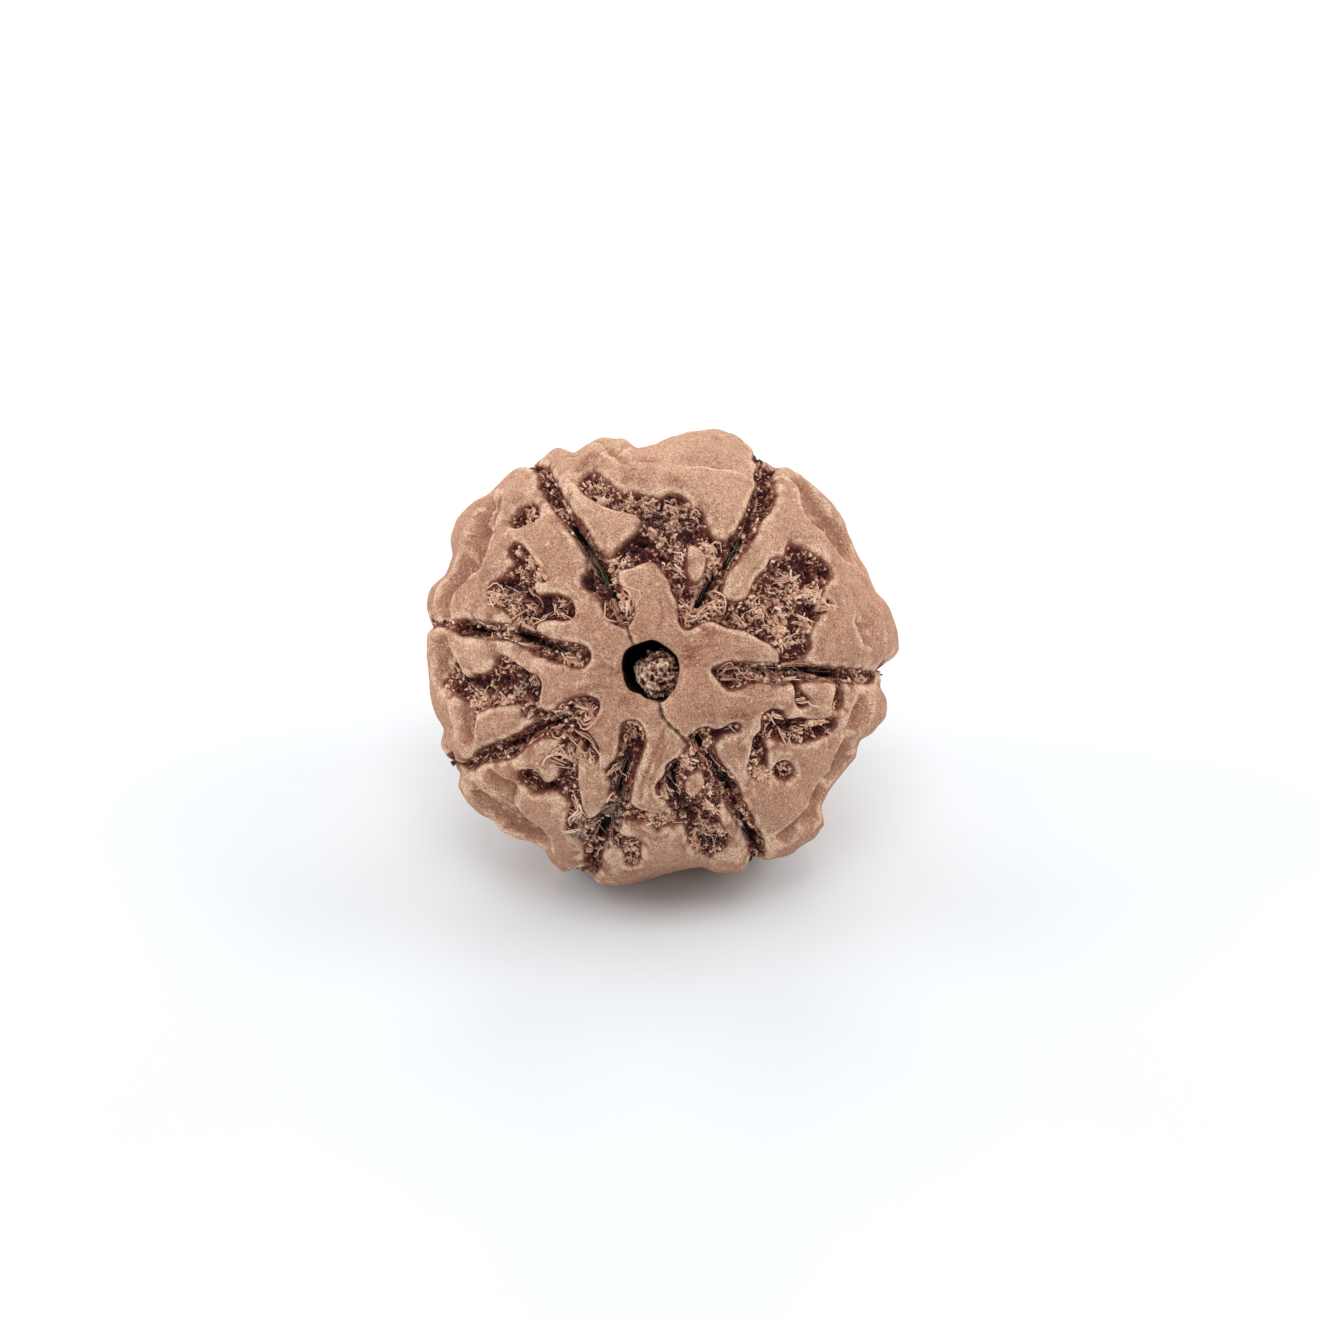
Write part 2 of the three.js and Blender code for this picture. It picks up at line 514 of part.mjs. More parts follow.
// Lays the stone down, cuts its flat spot at z = 0 and sets the middle of its box over the origin
const below_size = [60, 60, 10];
function lay_down(geometry) {
  geometry.rotateX((90 - mouth_rise_deg) * degrees);
  geometry.computeBoundingBox();
  geometry.translate(0, 0, -geometry.boundingBox.min.z - flat_spot_depth);
  const below = new THREE.BoxGeometry(...below_size).translate(0, 0, -below_size[2] / 2);
  const rested = mesh_of(solid_of(geometry).subtract(solid_of(closed_mesh(below))));
  rested.computeBoundingBox();
  const middle = rested.boundingBox.getCenter(new THREE.Vector3());
  rested.translate(-middle.x, -middle.y, 0);
  rested.computeVertexNormals();
  return rested;
}

const woody_stone = new THREE.MeshStandardMaterial({ color: 0xb78a72, roughness: 0.85, metalness: 0 });
const stone = new THREE.Mesh(lay_down(seed_stone()), woody_stone);
stone.name = 'seed_stone';

const seed = new THREE.Group();
seed.add(stone);

export default seed;
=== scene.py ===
import itertools
import math

import bpy
import numpy as np
from mathutils.kdtree import KDTree
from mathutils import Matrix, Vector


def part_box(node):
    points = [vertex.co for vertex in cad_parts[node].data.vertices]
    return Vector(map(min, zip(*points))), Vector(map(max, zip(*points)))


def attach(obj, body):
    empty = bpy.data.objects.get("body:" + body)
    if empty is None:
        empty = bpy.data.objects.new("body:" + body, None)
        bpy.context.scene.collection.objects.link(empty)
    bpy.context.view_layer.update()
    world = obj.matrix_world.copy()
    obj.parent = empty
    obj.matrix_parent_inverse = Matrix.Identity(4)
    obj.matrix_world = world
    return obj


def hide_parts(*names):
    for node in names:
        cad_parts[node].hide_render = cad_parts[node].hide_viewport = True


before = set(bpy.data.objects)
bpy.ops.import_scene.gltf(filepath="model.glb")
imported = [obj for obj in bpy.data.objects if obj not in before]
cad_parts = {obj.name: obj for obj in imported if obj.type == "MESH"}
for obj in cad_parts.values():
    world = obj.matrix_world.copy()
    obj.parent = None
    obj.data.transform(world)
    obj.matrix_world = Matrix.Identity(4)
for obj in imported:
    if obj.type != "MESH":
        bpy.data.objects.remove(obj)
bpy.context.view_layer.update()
mm = 0.001

# The stone: the woody stone of a rudraksha fruit, one grown piece with seven grooves, worn plates
# and open pits. It was boiled and brushed clean of pulp, so the plates are dry and velvety, and the
# crumbly tissue is left in the pits and grooves. It is drawn mouth up, in millimetres, and laid down.
half_length = 10.7
front_mouth = np.array([-0.55, -0.65])
mouth_size = 1.45
mouth_rise = math.radians(33)
flat_spot_depth = 0.4
flat_spot_calm = (2.6, 4.4)
waist_deg = 94
waist_band_deg = 30
outline = [
    [11.7, 0.2], [12.25, 1.0], [12.2, 1.9], [11.75, 3.0], [10.95, 3.9], [10.6, 4.8], [10.1, 5.6],
    [9.7, 6.6], [9.4, 7.4], [8.8, 8.3], [8.2, 9.0], [7.5, 9.6], [6.8, 9.95], [6.05, 10.0], [5.6, 10.55],
    [4.9, 11.1], [4.1, 11.6], [3.2, 11.75], [2.2, 11.55], [1.1, 11.3], [0.2, 11.0], [-0.6, 10.9],
    [-1.3, 11.4], [-2.4, 11.45], [-3.1, 11.15], [-3.7, 10.65], [-4.5, 10.85], [-5.2, 10.35], [-6.2, 10.05],
    [-7.2, 9.4], [-8.0, 8.7], [-8.7, 8.3], [-9.4, 7.45], [-9.75, 6.6], [-9.8, 5.6], [-10.1, 4.8],
    [-10.8, 4.0], [-11.05, 3.0], [-11.15, 1.8], [-10.95, 0.9], [-10.8, -0.5], [-10.6, -1.9], [-10.2, -2.9],
    [-10.35, -3.8], [-10.1, -4.7], [-9.35, -5.05], [-9.4, -5.8], [-8.9, -6.5], [-8.3, -7.0], [-7.6, -7.35],
    [-7.2, -7.8], [-6.6, -8.1], [-5.9, -8.35], [-5.2, -8.8], [-4.8, -9.5], [-4.3, -10.1], [-3.6, -10.2],
    [-3.1, -10.1], [-2.4, -10.45], [-1.4, -10.4], [-0.4, -10.2], [0.6, -9.95], [1.8, -9.75], [2.5, -9.65],
    [3.4, -9.95], [4.6, -10.0], [5.15, -9.4], [6.0, -9.4], [7.1, -9.0], [8.0, -8.25], [8.45, -7.5],
    [8.35, -6.6], [8.8, -5.9], [9.5, -5.15], [10.1, -4.3], [10.25, -3.4], [10.9, -2.85], [11.45, -2.2],
    [11.55, -1.5], [11.35, -0.8],
]
mouth_edge = [
    [0, 1.46], [25, 1.45], [50, 1.38], [90, 1.5], [120, 1.45], [150, 1.5], [185, 1.42], [215, 1.42],
    [245, 1.32], [270, 1.45], [290, 1.65], [310, 1.55], [335, 1.5],
]

# Marks on the front: lines of points [x, y, half-width] from the front mouth's middle
front_grooves = [
    [[-5.7, 10.5, 0.3], [-5.1, 9.3, 0.4], [-4.75, 8.6, 0.35], [-4.3, 7.9, 0.3], [-3.7, 7.1, 0.3],
     [-2.9, 5.9, 0.3], [-2.2, 4.7, 0.35], [-1.8, 3.7, 0.45], [-1.6, 3.0, 0.45], [-1.3, 2.5, 0.2]],
    [[6.0, 10.3, 0.25], [5.85, 9.4, 0.35], [5.5, 8.5, 0.4], [5.15, 7.6, 0.3], [4.6, 6.6, 0.35],
     [4.0, 5.7, 0.3], [3.3, 4.9, 0.35], [2.7, 3.8, 0.4], [2.2, 3.0, 0.4]],
    [[11.9, -0.4, 0.2], [10.4, -0.35, 0.28], [9.6, -0.3, 0.33], [8.2, -0.15, 0.3], [6.3, -0.15, 0.35],
     [4.6, -0.15, 0.4], [3.9, -0.2, 0.4], [3.5, -0.1, 0.2]],
    [[5.5, -9.7, 0.22], [5.2, -8.3, 0.3], [4.75, -7.5, 0.3], [4.3, -6.8, 0.35], [3.8, -5.7, 0.4],
     [3.1, -4.9, 0.4], [2.7, -4.1, 0.4], [2.4, -3.5, 0.35]],
    [[-3.0, -10.2, 0.22], [-2.9, -9.4, 0.3], [-2.6, -8.6, 0.5], [-2.3, -7.9, 0.55], [-1.8, -7.1, 0.45],
     [-1.5, -6.0, 0.4], [-1.3, -5.0, 0.4], [-0.95, -4.0, 0.45], [-0.85, -3.2, 0.4]],
    [[-9.9, -5.2, 0.1], [-9.0, -4.7, 0.15], [-8.2, -4.25, 0.3], [-6.9, -3.85, 0.4], [-5.9, -3.2, 0.35],
     [-5.0, -2.75, 0.4], [-4.0, -2.3, 0.5], [-3.2, -1.8, 0.4]],
    [[-11.2, 2.3, 0.1], [-10.2, 2.3, 0.1], [-9.4, 2.13, 0.35], [-8.4, 2.0, 0.35], [-7.2, 1.9, 0.32],
     [-6.0, 1.45, 0.35], [-4.6, 0.9, 0.45], [-3.5, 0.75, 0.45]],
]
# The edges of the grooves, the litter-filled pits and the small plates in them, as closed outlines [x, y]
groove_outlines = [
    [[-5.66, 10.2], [-5.54, 9.28], [-5.3, 8.74], [-4.93, 8.13], [-4.39, 7.47], [-4.03, 6.99], [-3.67, 6.45],
     [-3.25, 5.85], [-3.08, 5.13], [-3.43, 4.7], [-3.4, 4.1], [-2.71, 3.74], [-2.47, 3.32], [-2.3, 2.84],
     [-2.0, 2.42], [-1.55, 2.2], [-1.26, 2.1], [-1.0, 2.3], [-0.86, 2.72], [-0.9, 3.32], [-1.14, 3.8],
     [-1.44, 4.16], [-1.68, 4.52], [-1.6, 4.95], [-1.99, 5.49], [-2.53, 5.97], [-2.89, 6.45], [-3.19, 7.05],
     [-3.55, 7.47], [-3.97, 8.01], [-4.21, 8.5], [-4.39, 8.86], [-4.63, 9.22], [-4.93, 9.64],
     [-5.25, 10.3]],
    [[5.5, 10.3], [5.32, 9.82], [5.38, 9.34], [5.2, 9.04], [5.02, 8.62], [4.84, 8.01], [4.6, 7.41],
     [4.24, 6.81], [3.87, 6.51], [3.4, 5.9], [2.95, 5.3], [2.6, 4.5], [2.2, 3.7], [1.9, 3.2], [2.2, 2.8],
     [2.9, 3.0], [3.3, 3.6], [3.6, 4.4], [3.87, 4.77], [4.12, 5.13], [4.48, 5.61], [4.84, 6.09],
     [5.2, 6.57], [5.38, 7.17], [5.68, 7.65], [6.1, 8.01], [6.28, 8.62], [6.26, 9.34], [6.22, 10.0],
     [6.1, 10.4]],
    [[3.07, 0.07], [3.55, 0.25], [4.14, 0.43], [4.86, 0.37], [5.69, 0.37], [6.29, 0.31], [7.71, 0.25],
     [8.55, 0.19], [9.26, 0.13], [10.1, 0.01], [11.4, -0.05], [11.4, -0.7], [10.57, -0.7], [9.74, -0.7],
     [9.14, -0.58], [8.43, -0.52], [7.71, -0.58], [7.12, -0.64], [6.4, -0.7], [5.57, -0.58], [4.86, -0.64],
     [4.62, -0.88], [4.26, -1.06], [3.79, -0.94], [3.43, -0.52], [3.13, -0.23]],
    [[2.0, -3.1], [2.71, -2.79], [3.0, -3.1], [3.19, -3.74], [3.31, -4.21], [3.55, -4.69], [3.96, -5.17],
     [4.32, -5.52], [4.38, -6.0], [4.56, -6.6], [4.74, -7.19], [5.04, -7.79], [5.45, -8.2], [5.69, -8.62],
     [5.75, -9.4], [5.04, -9.3], [4.86, -8.5], [4.5, -7.9], [4.08, -7.31], [3.79, -6.71], [3.55, -6.24],
     [3.25, -5.88], [3.01, -5.4], [2.71, -4.81], [2.24, -4.45], [1.95, -3.74], [1.75, -3.4]],
    [[-1.01, -2.51], [-0.65, -2.54], [-0.35, -2.87], [-0.2, -3.41], [-0.29, -3.89], [-0.47, -4.37],
     [-0.65, -4.86], [-0.83, -5.46], [-0.98, -6.06], [-1.01, -6.6], [-1.1, -7.1], [-1.45, -7.5],
     [-1.5, -7.9], [-1.7, -8.2], [-2.0, -8.4], [-2.2, -8.9], [-2.52, -9.43], [-2.58, -10.2], [-3.4, -10.2],
     [-3.36, -9.92], [-3.3, -9.31], [-3.36, -8.5], [-3.2, -7.9], [-3.0, -7.39], [-2.7, -7.33],
     [-2.34, -7.02], [-2.1, -6.66], [-1.95, -6.18], [-1.92, -5.64], [-2.04, -5.52], [-2.22, -5.16],
     [-2.1, -4.73], [-1.8, -4.61], [-1.61, -4.25], [-1.55, -3.77], [-1.52, -3.11], [-1.31, -2.69]],
    [[-9.46, -4.8], [-8.98, -4.49], [-8.55, -4.07], [-8.13, -3.77], [-7.53, -3.59], [-6.93, -3.35],
     [-6.45, -3.05], [-5.96, -2.75], [-5.6, -2.39], [-5.06, -2.06], [-4.64, -1.9], [-4.28, -1.6],
     [-3.8, -1.36], [-3.19, -1.27], [-2.77, -1.39], [-2.55, -1.66], [-2.65, -2.08], [-2.95, -2.45],
     [-3.31, -2.81], [-3.8, -3.0], [-4.4, -3.4], [-5.0, -3.29], [-5.48, -3.41], [-5.96, -3.71],
     [-6.45, -4.01], [-6.93, -4.4], [-7.53, -4.49], [-8.13, -4.61], [-8.73, -4.8], [-9.46, -4.92]],
    [[-10.17, 2.42], [-9.69, 2.5], [-9.21, 2.54], [-8.6, 2.42], [-7.88, 2.33], [-7.28, 2.3], [-6.86, 2.33],
     [-5.84, 2.0], [-5.23, 1.64], [-4.63, 1.46], [-3.91, 1.34], [-3.31, 1.22], [-2.95, 0.97], [-2.85, 0.67],
     [-3.0, 0.31], [-3.43, 0.16], [-4.03, 0.25], [-4.63, 0.37], [-5.23, 0.55], [-5.73, 0.73], [-6.2, 1.03],
     [-6.68, 1.34], [-7.28, 1.52], [-8.0, 1.58], [-8.72, 1.64], [-9.33, 1.73], [-9.8, 2.0], [-10.17, 2.24]],
]
pit_outlines = [
    [[-7.0, 7.3], [-6.98, 7.65], [-6.74, 7.95], [-6.5, 8.26], [-6.2, 8.4], [-5.84, 8.32], [-5.6, 8.07],
     [-5.51, 7.77], [-5.72, 7.47], [-6.08, 7.35], [-6.38, 7.23], [-6.74, 7.1]],
    [[-6.92, 6.27], [-6.68, 6.31], [-6.32, 6.15], [-6.02, 5.79], [-5.72, 5.37], [-5.42, 5.01],
     [-4.99, 4.52], [-5.17, 4.34], [-5.48, 4.46], [-5.69, 4.34], [-5.78, 3.92], [-5.48, 3.74], [-4.87, 3.8],
     [-4.27, 3.66], [-3.85, 3.35], [-3.65, 2.94], [-3.79, 2.54], [-4.27, 2.42], [-4.87, 2.5], [-5.36, 2.54],
     [-5.72, 2.33], [-5.84, 2.06], [-5.95, 1.7], [-6.68, 1.76], [-6.86, 2.33], [-7.04, 2.72], [-7.4, 3.02],
     [-7.79, 3.26], [-8.06, 3.62], [-8.1, 4.04], [-7.88, 4.38], [-7.46, 4.55], [-7.28, 4.83], [-6.86, 5.13],
     [-6.68, 5.37], [-6.98, 5.67], [-7.06, 5.97]],
    [[-2.2, 5.3], [-1.9, 5.61], [-1.66, 6.03], [-1.3, 6.33], [-0.94, 6.57], [-0.58, 6.93], [-0.34, 7.29],
     [-0.52, 7.59], [-0.82, 7.83], [-1.5, 7.99], [-1.87, 8.07], [-2.35, 8.26], [-2.83, 8.5], [-3.19, 8.74],
     [-3.49, 8.98], [-3.6, 9.25], [-3.4, 9.5], [-3.1, 9.75], [-2.7, 9.85], [-2.35, 9.7], [-2.1, 9.45],
     [-1.87, 9.2], [-1.5, 8.98], [-1.3, 8.8], [-0.7, 8.74], [-0.1, 8.62], [0.39, 8.5], [0.75, 8.62],
     [0.99, 8.8], [1.59, 8.74], [1.95, 8.44], [2.07, 8.07], [2.43, 8.13], [2.67, 7.77], [2.85, 7.17],
     [3.15, 6.75], [3.51, 6.45], [3.87, 6.45], [4.3, 6.0], [3.87, 5.0], [3.69, 4.28], [3.51, 3.92],
     [3.63, 3.56], [4.0, 3.32], [4.48, 3.38], [4.9, 3.62], [5.02, 4.04], [5.14, 4.4], [5.5, 4.77],
     [5.8, 5.13], [5.92, 5.49], [6.4, 5.67], [6.76, 5.67], [6.82, 6.09], [7.0, 6.35], [7.4, 6.27],
     [7.8, 6.02], [8.25, 5.7], [8.68, 5.39], [9.1, 4.98], [9.05, 4.6], [8.75, 4.2], [8.55, 3.8],
     [8.56, 3.45], [9.04, 3.37], [9.1, 3.13], [8.68, 2.95], [8.44, 2.7], [8.25, 2.36], [8.0, 2.06],
     [7.9, 1.7], [8.0, 1.3], [7.95, 0.9], [7.7, 0.55], [7.5, 0.1], [6.3, 0.1], [6.25, 0.35], [6.46, 0.67],
     [6.28, 1.1], [5.8, 1.4], [5.2, 1.64], [4.72, 1.94], [4.36, 2.0], [3.87, 2.06], [3.39, 2.3],
     [3.03, 2.5], [2.67, 2.42], [2.31, 2.18], [1.95, 2.0], [1.65, 2.06], [1.47, 2.36], [1.41, 2.96],
     [1.35, 3.44], [1.11, 3.92], [0.99, 4.4], [0.69, 4.77], [0.45, 5.13], [0.14, 5.37], [-0.22, 5.34],
     [-0.7, 5.13], [-1.18, 5.03], [-1.6, 4.95], [-2.0, 5.0]],
    [[7.0, -0.5], [7.15, -0.75], [7.22, -1.06], [7.21, -1.48], [7.36, -1.83], [7.71, -1.87], [7.95, -1.6],
     [7.89, -1.3], [7.54, -1.12], [7.45, -0.76], [7.5, -0.5]],
    [[9.26, -0.5], [9.3, -1.0], [9.14, -1.36], [9.02, -1.83], [9.32, -1.95], [9.6, -1.71], [9.52, -1.24],
     [9.55, -0.5]],
    [[5.45, -2.31], [5.69, -2.01], [6.17, -1.89], [6.5, -2.01], [6.62, -2.35], [7.0, -2.49], [7.48, -2.37],
     [7.95, -2.49], [8.55, -2.49], [9.14, -2.37], [9.24, -2.61], [9.1, -3.08], [8.67, -3.2], [8.31, -3.5],
     [7.71, -3.62], [7.24, -3.68], [6.88, -3.4], [6.4, -3.5], [5.93, -3.32], [5.6, -3.4], [5.69, -3.74],
     [5.81, -4.21], [5.87, -4.69], [5.93, -5.2], [5.69, -5.5], [5.33, -5.46], [4.98, -5.17], [4.83, -4.93],
     [4.92, -4.45], [4.98, -3.86], [5.04, -3.26], [5.45, -2.9]],
    [[2.5, -3.0], [2.71, -2.79], [3.13, -3.0], [3.55, -2.9], [3.9, -2.67], [4.32, -2.55], [4.44, -2.79],
     [4.26, -3.02], [3.79, -3.14], [3.43, -3.4], [3.19, -3.74], [2.7, -3.7]],
    [[6.15, -4.9], [6.4, -4.6], [6.85, -4.55], [7.15, -4.85], [7.2, -5.2], [6.9, -5.5], [6.45, -5.45],
     [6.15, -5.2]],
    [[1.82, -3.71], [1.76, -3.89], [1.52, -4.25], [1.16, -4.49], [0.8, -4.73], [0.73, -5.1], [0.55, -5.4],
     [0.31, -5.7], [0.37, -6.0], [0.55, -6.36], [0.8, -6.48], [0.98, -6.78], [0.86, -7.14], [0.43, -7.33],
     [-0.17, -7.24], [-0.65, -7.02], [-0.95, -6.66], [-1.5, -6.6], [-1.6, -7.4], [-1.2, -7.57],
     [-0.89, -7.57], [-0.29, -7.63], [0.13, -7.87], [0.3, -8.15], [0.5, -7.9], [0.9, -7.75], [1.28, -7.75],
     [1.64, -7.75], [1.9, -8.2], [2.0, -8.75], [2.45, -9.1], [2.9, -9.3], [3.4, -9.15], [3.85, -8.95],
     [4.0, -8.5], [3.85, -8.2], [3.51, -7.75], [3.33, -7.02], [3.33, -6.42], [3.51, -6.2], [3.7, -5.9],
     [3.4, -5.1], [2.9, -4.2], [2.3, -3.5]],
    [[-1.92, -8.1], [-1.61, -8.1], [-1.25, -8.29], [-0.77, -8.35], [-0.47, -8.59], [-0.47, -9.19],
     [-0.59, -9.67], [-1.01, -9.86], [-1.25, -9.55], [-1.23, -9.19], [-1.49, -8.89], [-1.92, -8.83],
     [-2.28, -9.07], [-2.6, -9.0], [-2.3, -8.3]],
    [[-10.2, 0.93], [-10.0, 0.85], [-9.88, 0.39], [-9.8, 0.05], [-9.46, -0.22], [-9.16, -0.5],
     [-8.73, -0.22], [-8.13, -0.22], [-7.71, 0.14], [-7.59, 0.51], [-7.29, 0.69], [-6.93, 0.51],
     [-6.57, 0.2], [-6.2, -0.1], [-5.72, -0.34], [-5.46, -0.64], [-5.42, -1.0], [-5.54, -1.48],
     [-5.48, -1.84], [-5.12, -2.02], [-4.8, -2.3], [-5.4, -2.6], [-5.72, -2.33], [-6.08, -2.33],
     [-6.39, -2.14], [-6.45, -1.9], [-6.35, -1.6], [-6.93, -1.72], [-7.41, -1.75], [-7.89, -1.84],
     [-8.37, -2.02], [-8.73, -2.2], [-8.85, -2.6], [-8.86, -3.05], [-9.07, -3.11], [-9.16, -2.69],
     [-9.2, -2.14], [-9.4, -1.66], [-9.7, -1.24], [-10.1, -1.0], [-10.4, -0.76], [-10.36, -0.28],
     [-10.18, 0.08], [-10.24, 0.57]],
    [[-4.2, -2.6], [-4.37, -3.65], [-4.76, -4.07], [-4.86, -4.37], [-4.64, -4.73], [-4.52, -5.1],
     [-4.64, -5.46], [-5.0, -5.7], [-5.3, -5.52], [-5.48, -5.22], [-5.72, -4.95], [-6.14, -4.88],
     [-6.51, -5.07], [-6.59, -5.4], [-6.39, -5.7], [-6.02, -5.94], [-5.6, -6.24], [-5.0, -6.12],
     [-4.52, -6.18], [-4.16, -6.42], [-3.86, -6.78], [-3.98, -7.14], [-4.1, -7.75], [-4.04, -8.11],
     [-3.73, -8.41], [-3.43, -8.53], [-2.8, -8.4], [-2.7, -7.5], [-3.01, -7.33], [-3.31, -7.02],
     [-3.49, -6.54], [-3.61, -5.94], [-3.73, -5.34], [-3.67, -4.73], [-3.55, -4.01], [-3.5, -3.65],
     [-3.37, -3.89], [-3.19, -4.37], [-2.89, -4.64], [-2.61, -4.49], [-2.59, -4.01], [-2.83, -3.53],
     [-3.31, -2.81], [-3.6, -2.4]],
]
plate_outlines = [
    [[1.89, 6.21], [2.13, 6.31], [2.43, 6.21], [2.67, 5.97], [2.91, 5.61], [2.79, 5.01], [2.61, 4.52],
     [2.31, 4.25], [2.01, 4.4], [1.83, 4.77], [1.77, 5.37], [1.8, 5.85]],
    [[1.72, -5.8], [1.8, -5.4], [2.1, -5.1], [2.5, -5.02], [2.75, -5.38], [2.7, -5.75], [2.45, -6.1],
     [2.06, -6.25], [1.8, -6.1]],
    [[-2.5, -9.5], [-2.3, -9.2], [-1.9, -9.05], [-1.55, -9.15], [-1.4, -9.4], [-1.4, -9.8], [-1.7, -10.15],
     [-2.3, -10.1]],
    [[-6.75, 5.95], [-6.5, 6.02], [-6.3, 5.9], [-6.28, 5.65], [-6.5, 5.55], [-6.72, 5.65]],
]
front_valleys = [
    [[-8.1, 7.9, 0.4], [-8.4, 6.8, 0.4], [-8.6, 5.7, 0.4]],
    [[-9.3, 4.9, 0.35], [-9.9, 4.1, 0.35], [-10.2, 3.4, 0.3]],
    [[-10.35, 1.1, 0.25], [-10.3, 0.0, 0.25]],
    [[-9.2, -2.1, 0.3], [-9.1, -3.1, 0.3]],
    [[-7.8, -5.45, 0.3], [-7.1, -5.85, 0.35]],
    [[-8.4, -6.35, 0.3], [-7.6, -6.85, 0.3]],
    [[-6.6, -7.6, 0.3], [-6.0, -7.9, 0.3]],
    [[10.25, -2.3, 0.35], [10.5, -2.0, 0.3]],
    [[9.5, -4.0, 0.25], [9.4, -4.9, 0.3]],
    [[8.3, -5.9, 0.25], [8.1, -6.6, 0.3], [7.7, -7.2, 0.25], [7.0, -8.0, 0.3]],
    [[7.6, 9.2, 0.35], [8.4, 7.7, 0.4], [9.4, 6.5, 0.35]],
    [[-1.9, 10.7, 0.05], [-1.2, 10.2, 0.05]],
]
front_hollows = [
    [[1.5, 10.1, 0.35], [3.2, 10.2, 0.35], [4.8, 10.0, 0.35]],
    [[10.7, 2.0, 0.5], [10.9, 1.6, 0.4]],
]
# Crests where a plate breaks off to a lower lobe: points [x, y, drop], with the low side on the right
front_crests = [
    [[-7.5, 8.9, 0], [-7.7, 8.5, 0.35], [-8.25, 7.4, 0.5], [-8.0, 6.9, 0.55], [-8.2, 5.7, 0.5],
     [-8.35, 5.2, 0.4], [-9.2, 4.75, 0.4], [-9.7, 4.1, 0.5], [-9.97, 3.2, 0.45], [-9.85, 2.75, 0]],
    [[-7.7, -5.1, 0], [-7.45, -5.35, 0.4], [-6.9, -5.75, 0.5], [-6.7, -6.7, 0.5], [-6.15, -7.3, 0.5],
     [-5.65, -7.85, 0.45], [-5.2, -8.4, 0]],
    [[-9.3, -5.9, 0], [-8.9, -6.0, 0.35], [-8.36, -6.1, 0.4], [-7.85, -6.57, 0.45], [-7.3, -6.93, 0]],
    [[9.1, -5.2, 0], [9.27, -4.73, 0.4], [9.27, -3.87, 0.5], [9.55, -3.0, 0.35], [9.6, -2.5, 0.45],
     [9.87, -2.28, 0.55], [10.28, -1.8, 0.45], [10.9, -1.6, 0]],
    [[5.9, -8.3, 0], [6.4, -8.0, 0.4], [7.07, -7.5, 0.5], [7.58, -6.93, 0.5], [7.9, -6.27, 0.5],
     [8.2, -5.7, 0.3], [8.4, -5.4, 0]],
    [[10.9, 1.0, 0], [10.4, 1.35, 0.4], [10.2, 1.75, 0.5], [10.0, 2.27, 0.4], [10.0, 2.7, 0]],
    [[9.5, 6.0, 0], [9.05, 6.25, 0.3], [8.75, 6.6, 0.4], [8.4, 7.2, 0.45], [7.9, 7.7, 0.4], [7.5, 8.6, 0.4],
     [7.0, 9.4, 0.3], [6.6, 9.9, 0]],
    [[4.7, 9.6, 0], [4.2, 9.8, 0.25], [3.5, 9.86, 0.35], [2.8, 10.0, 0.35], [1.7, 10.0, 0.25],
     [1.0, 10.1, 0]],
    [[-1.85, 10.3, 0], [-2.07, 10.6, 0.25], [-2.5, 11.0, 0.25], [-3.0, 11.2, 0]],
    [[-0.4, 10.8, 0], [-1.2, 10.7, 0.2], [-1.8, 10.5, 0.2], [-2.05, 10.45, 0]],
    [[-10.6, 1.25, 0], [-9.97, 0.98, 0.35], [-9.5, 0.47, 0.4], [-9.3, 0.0, 0]],
]
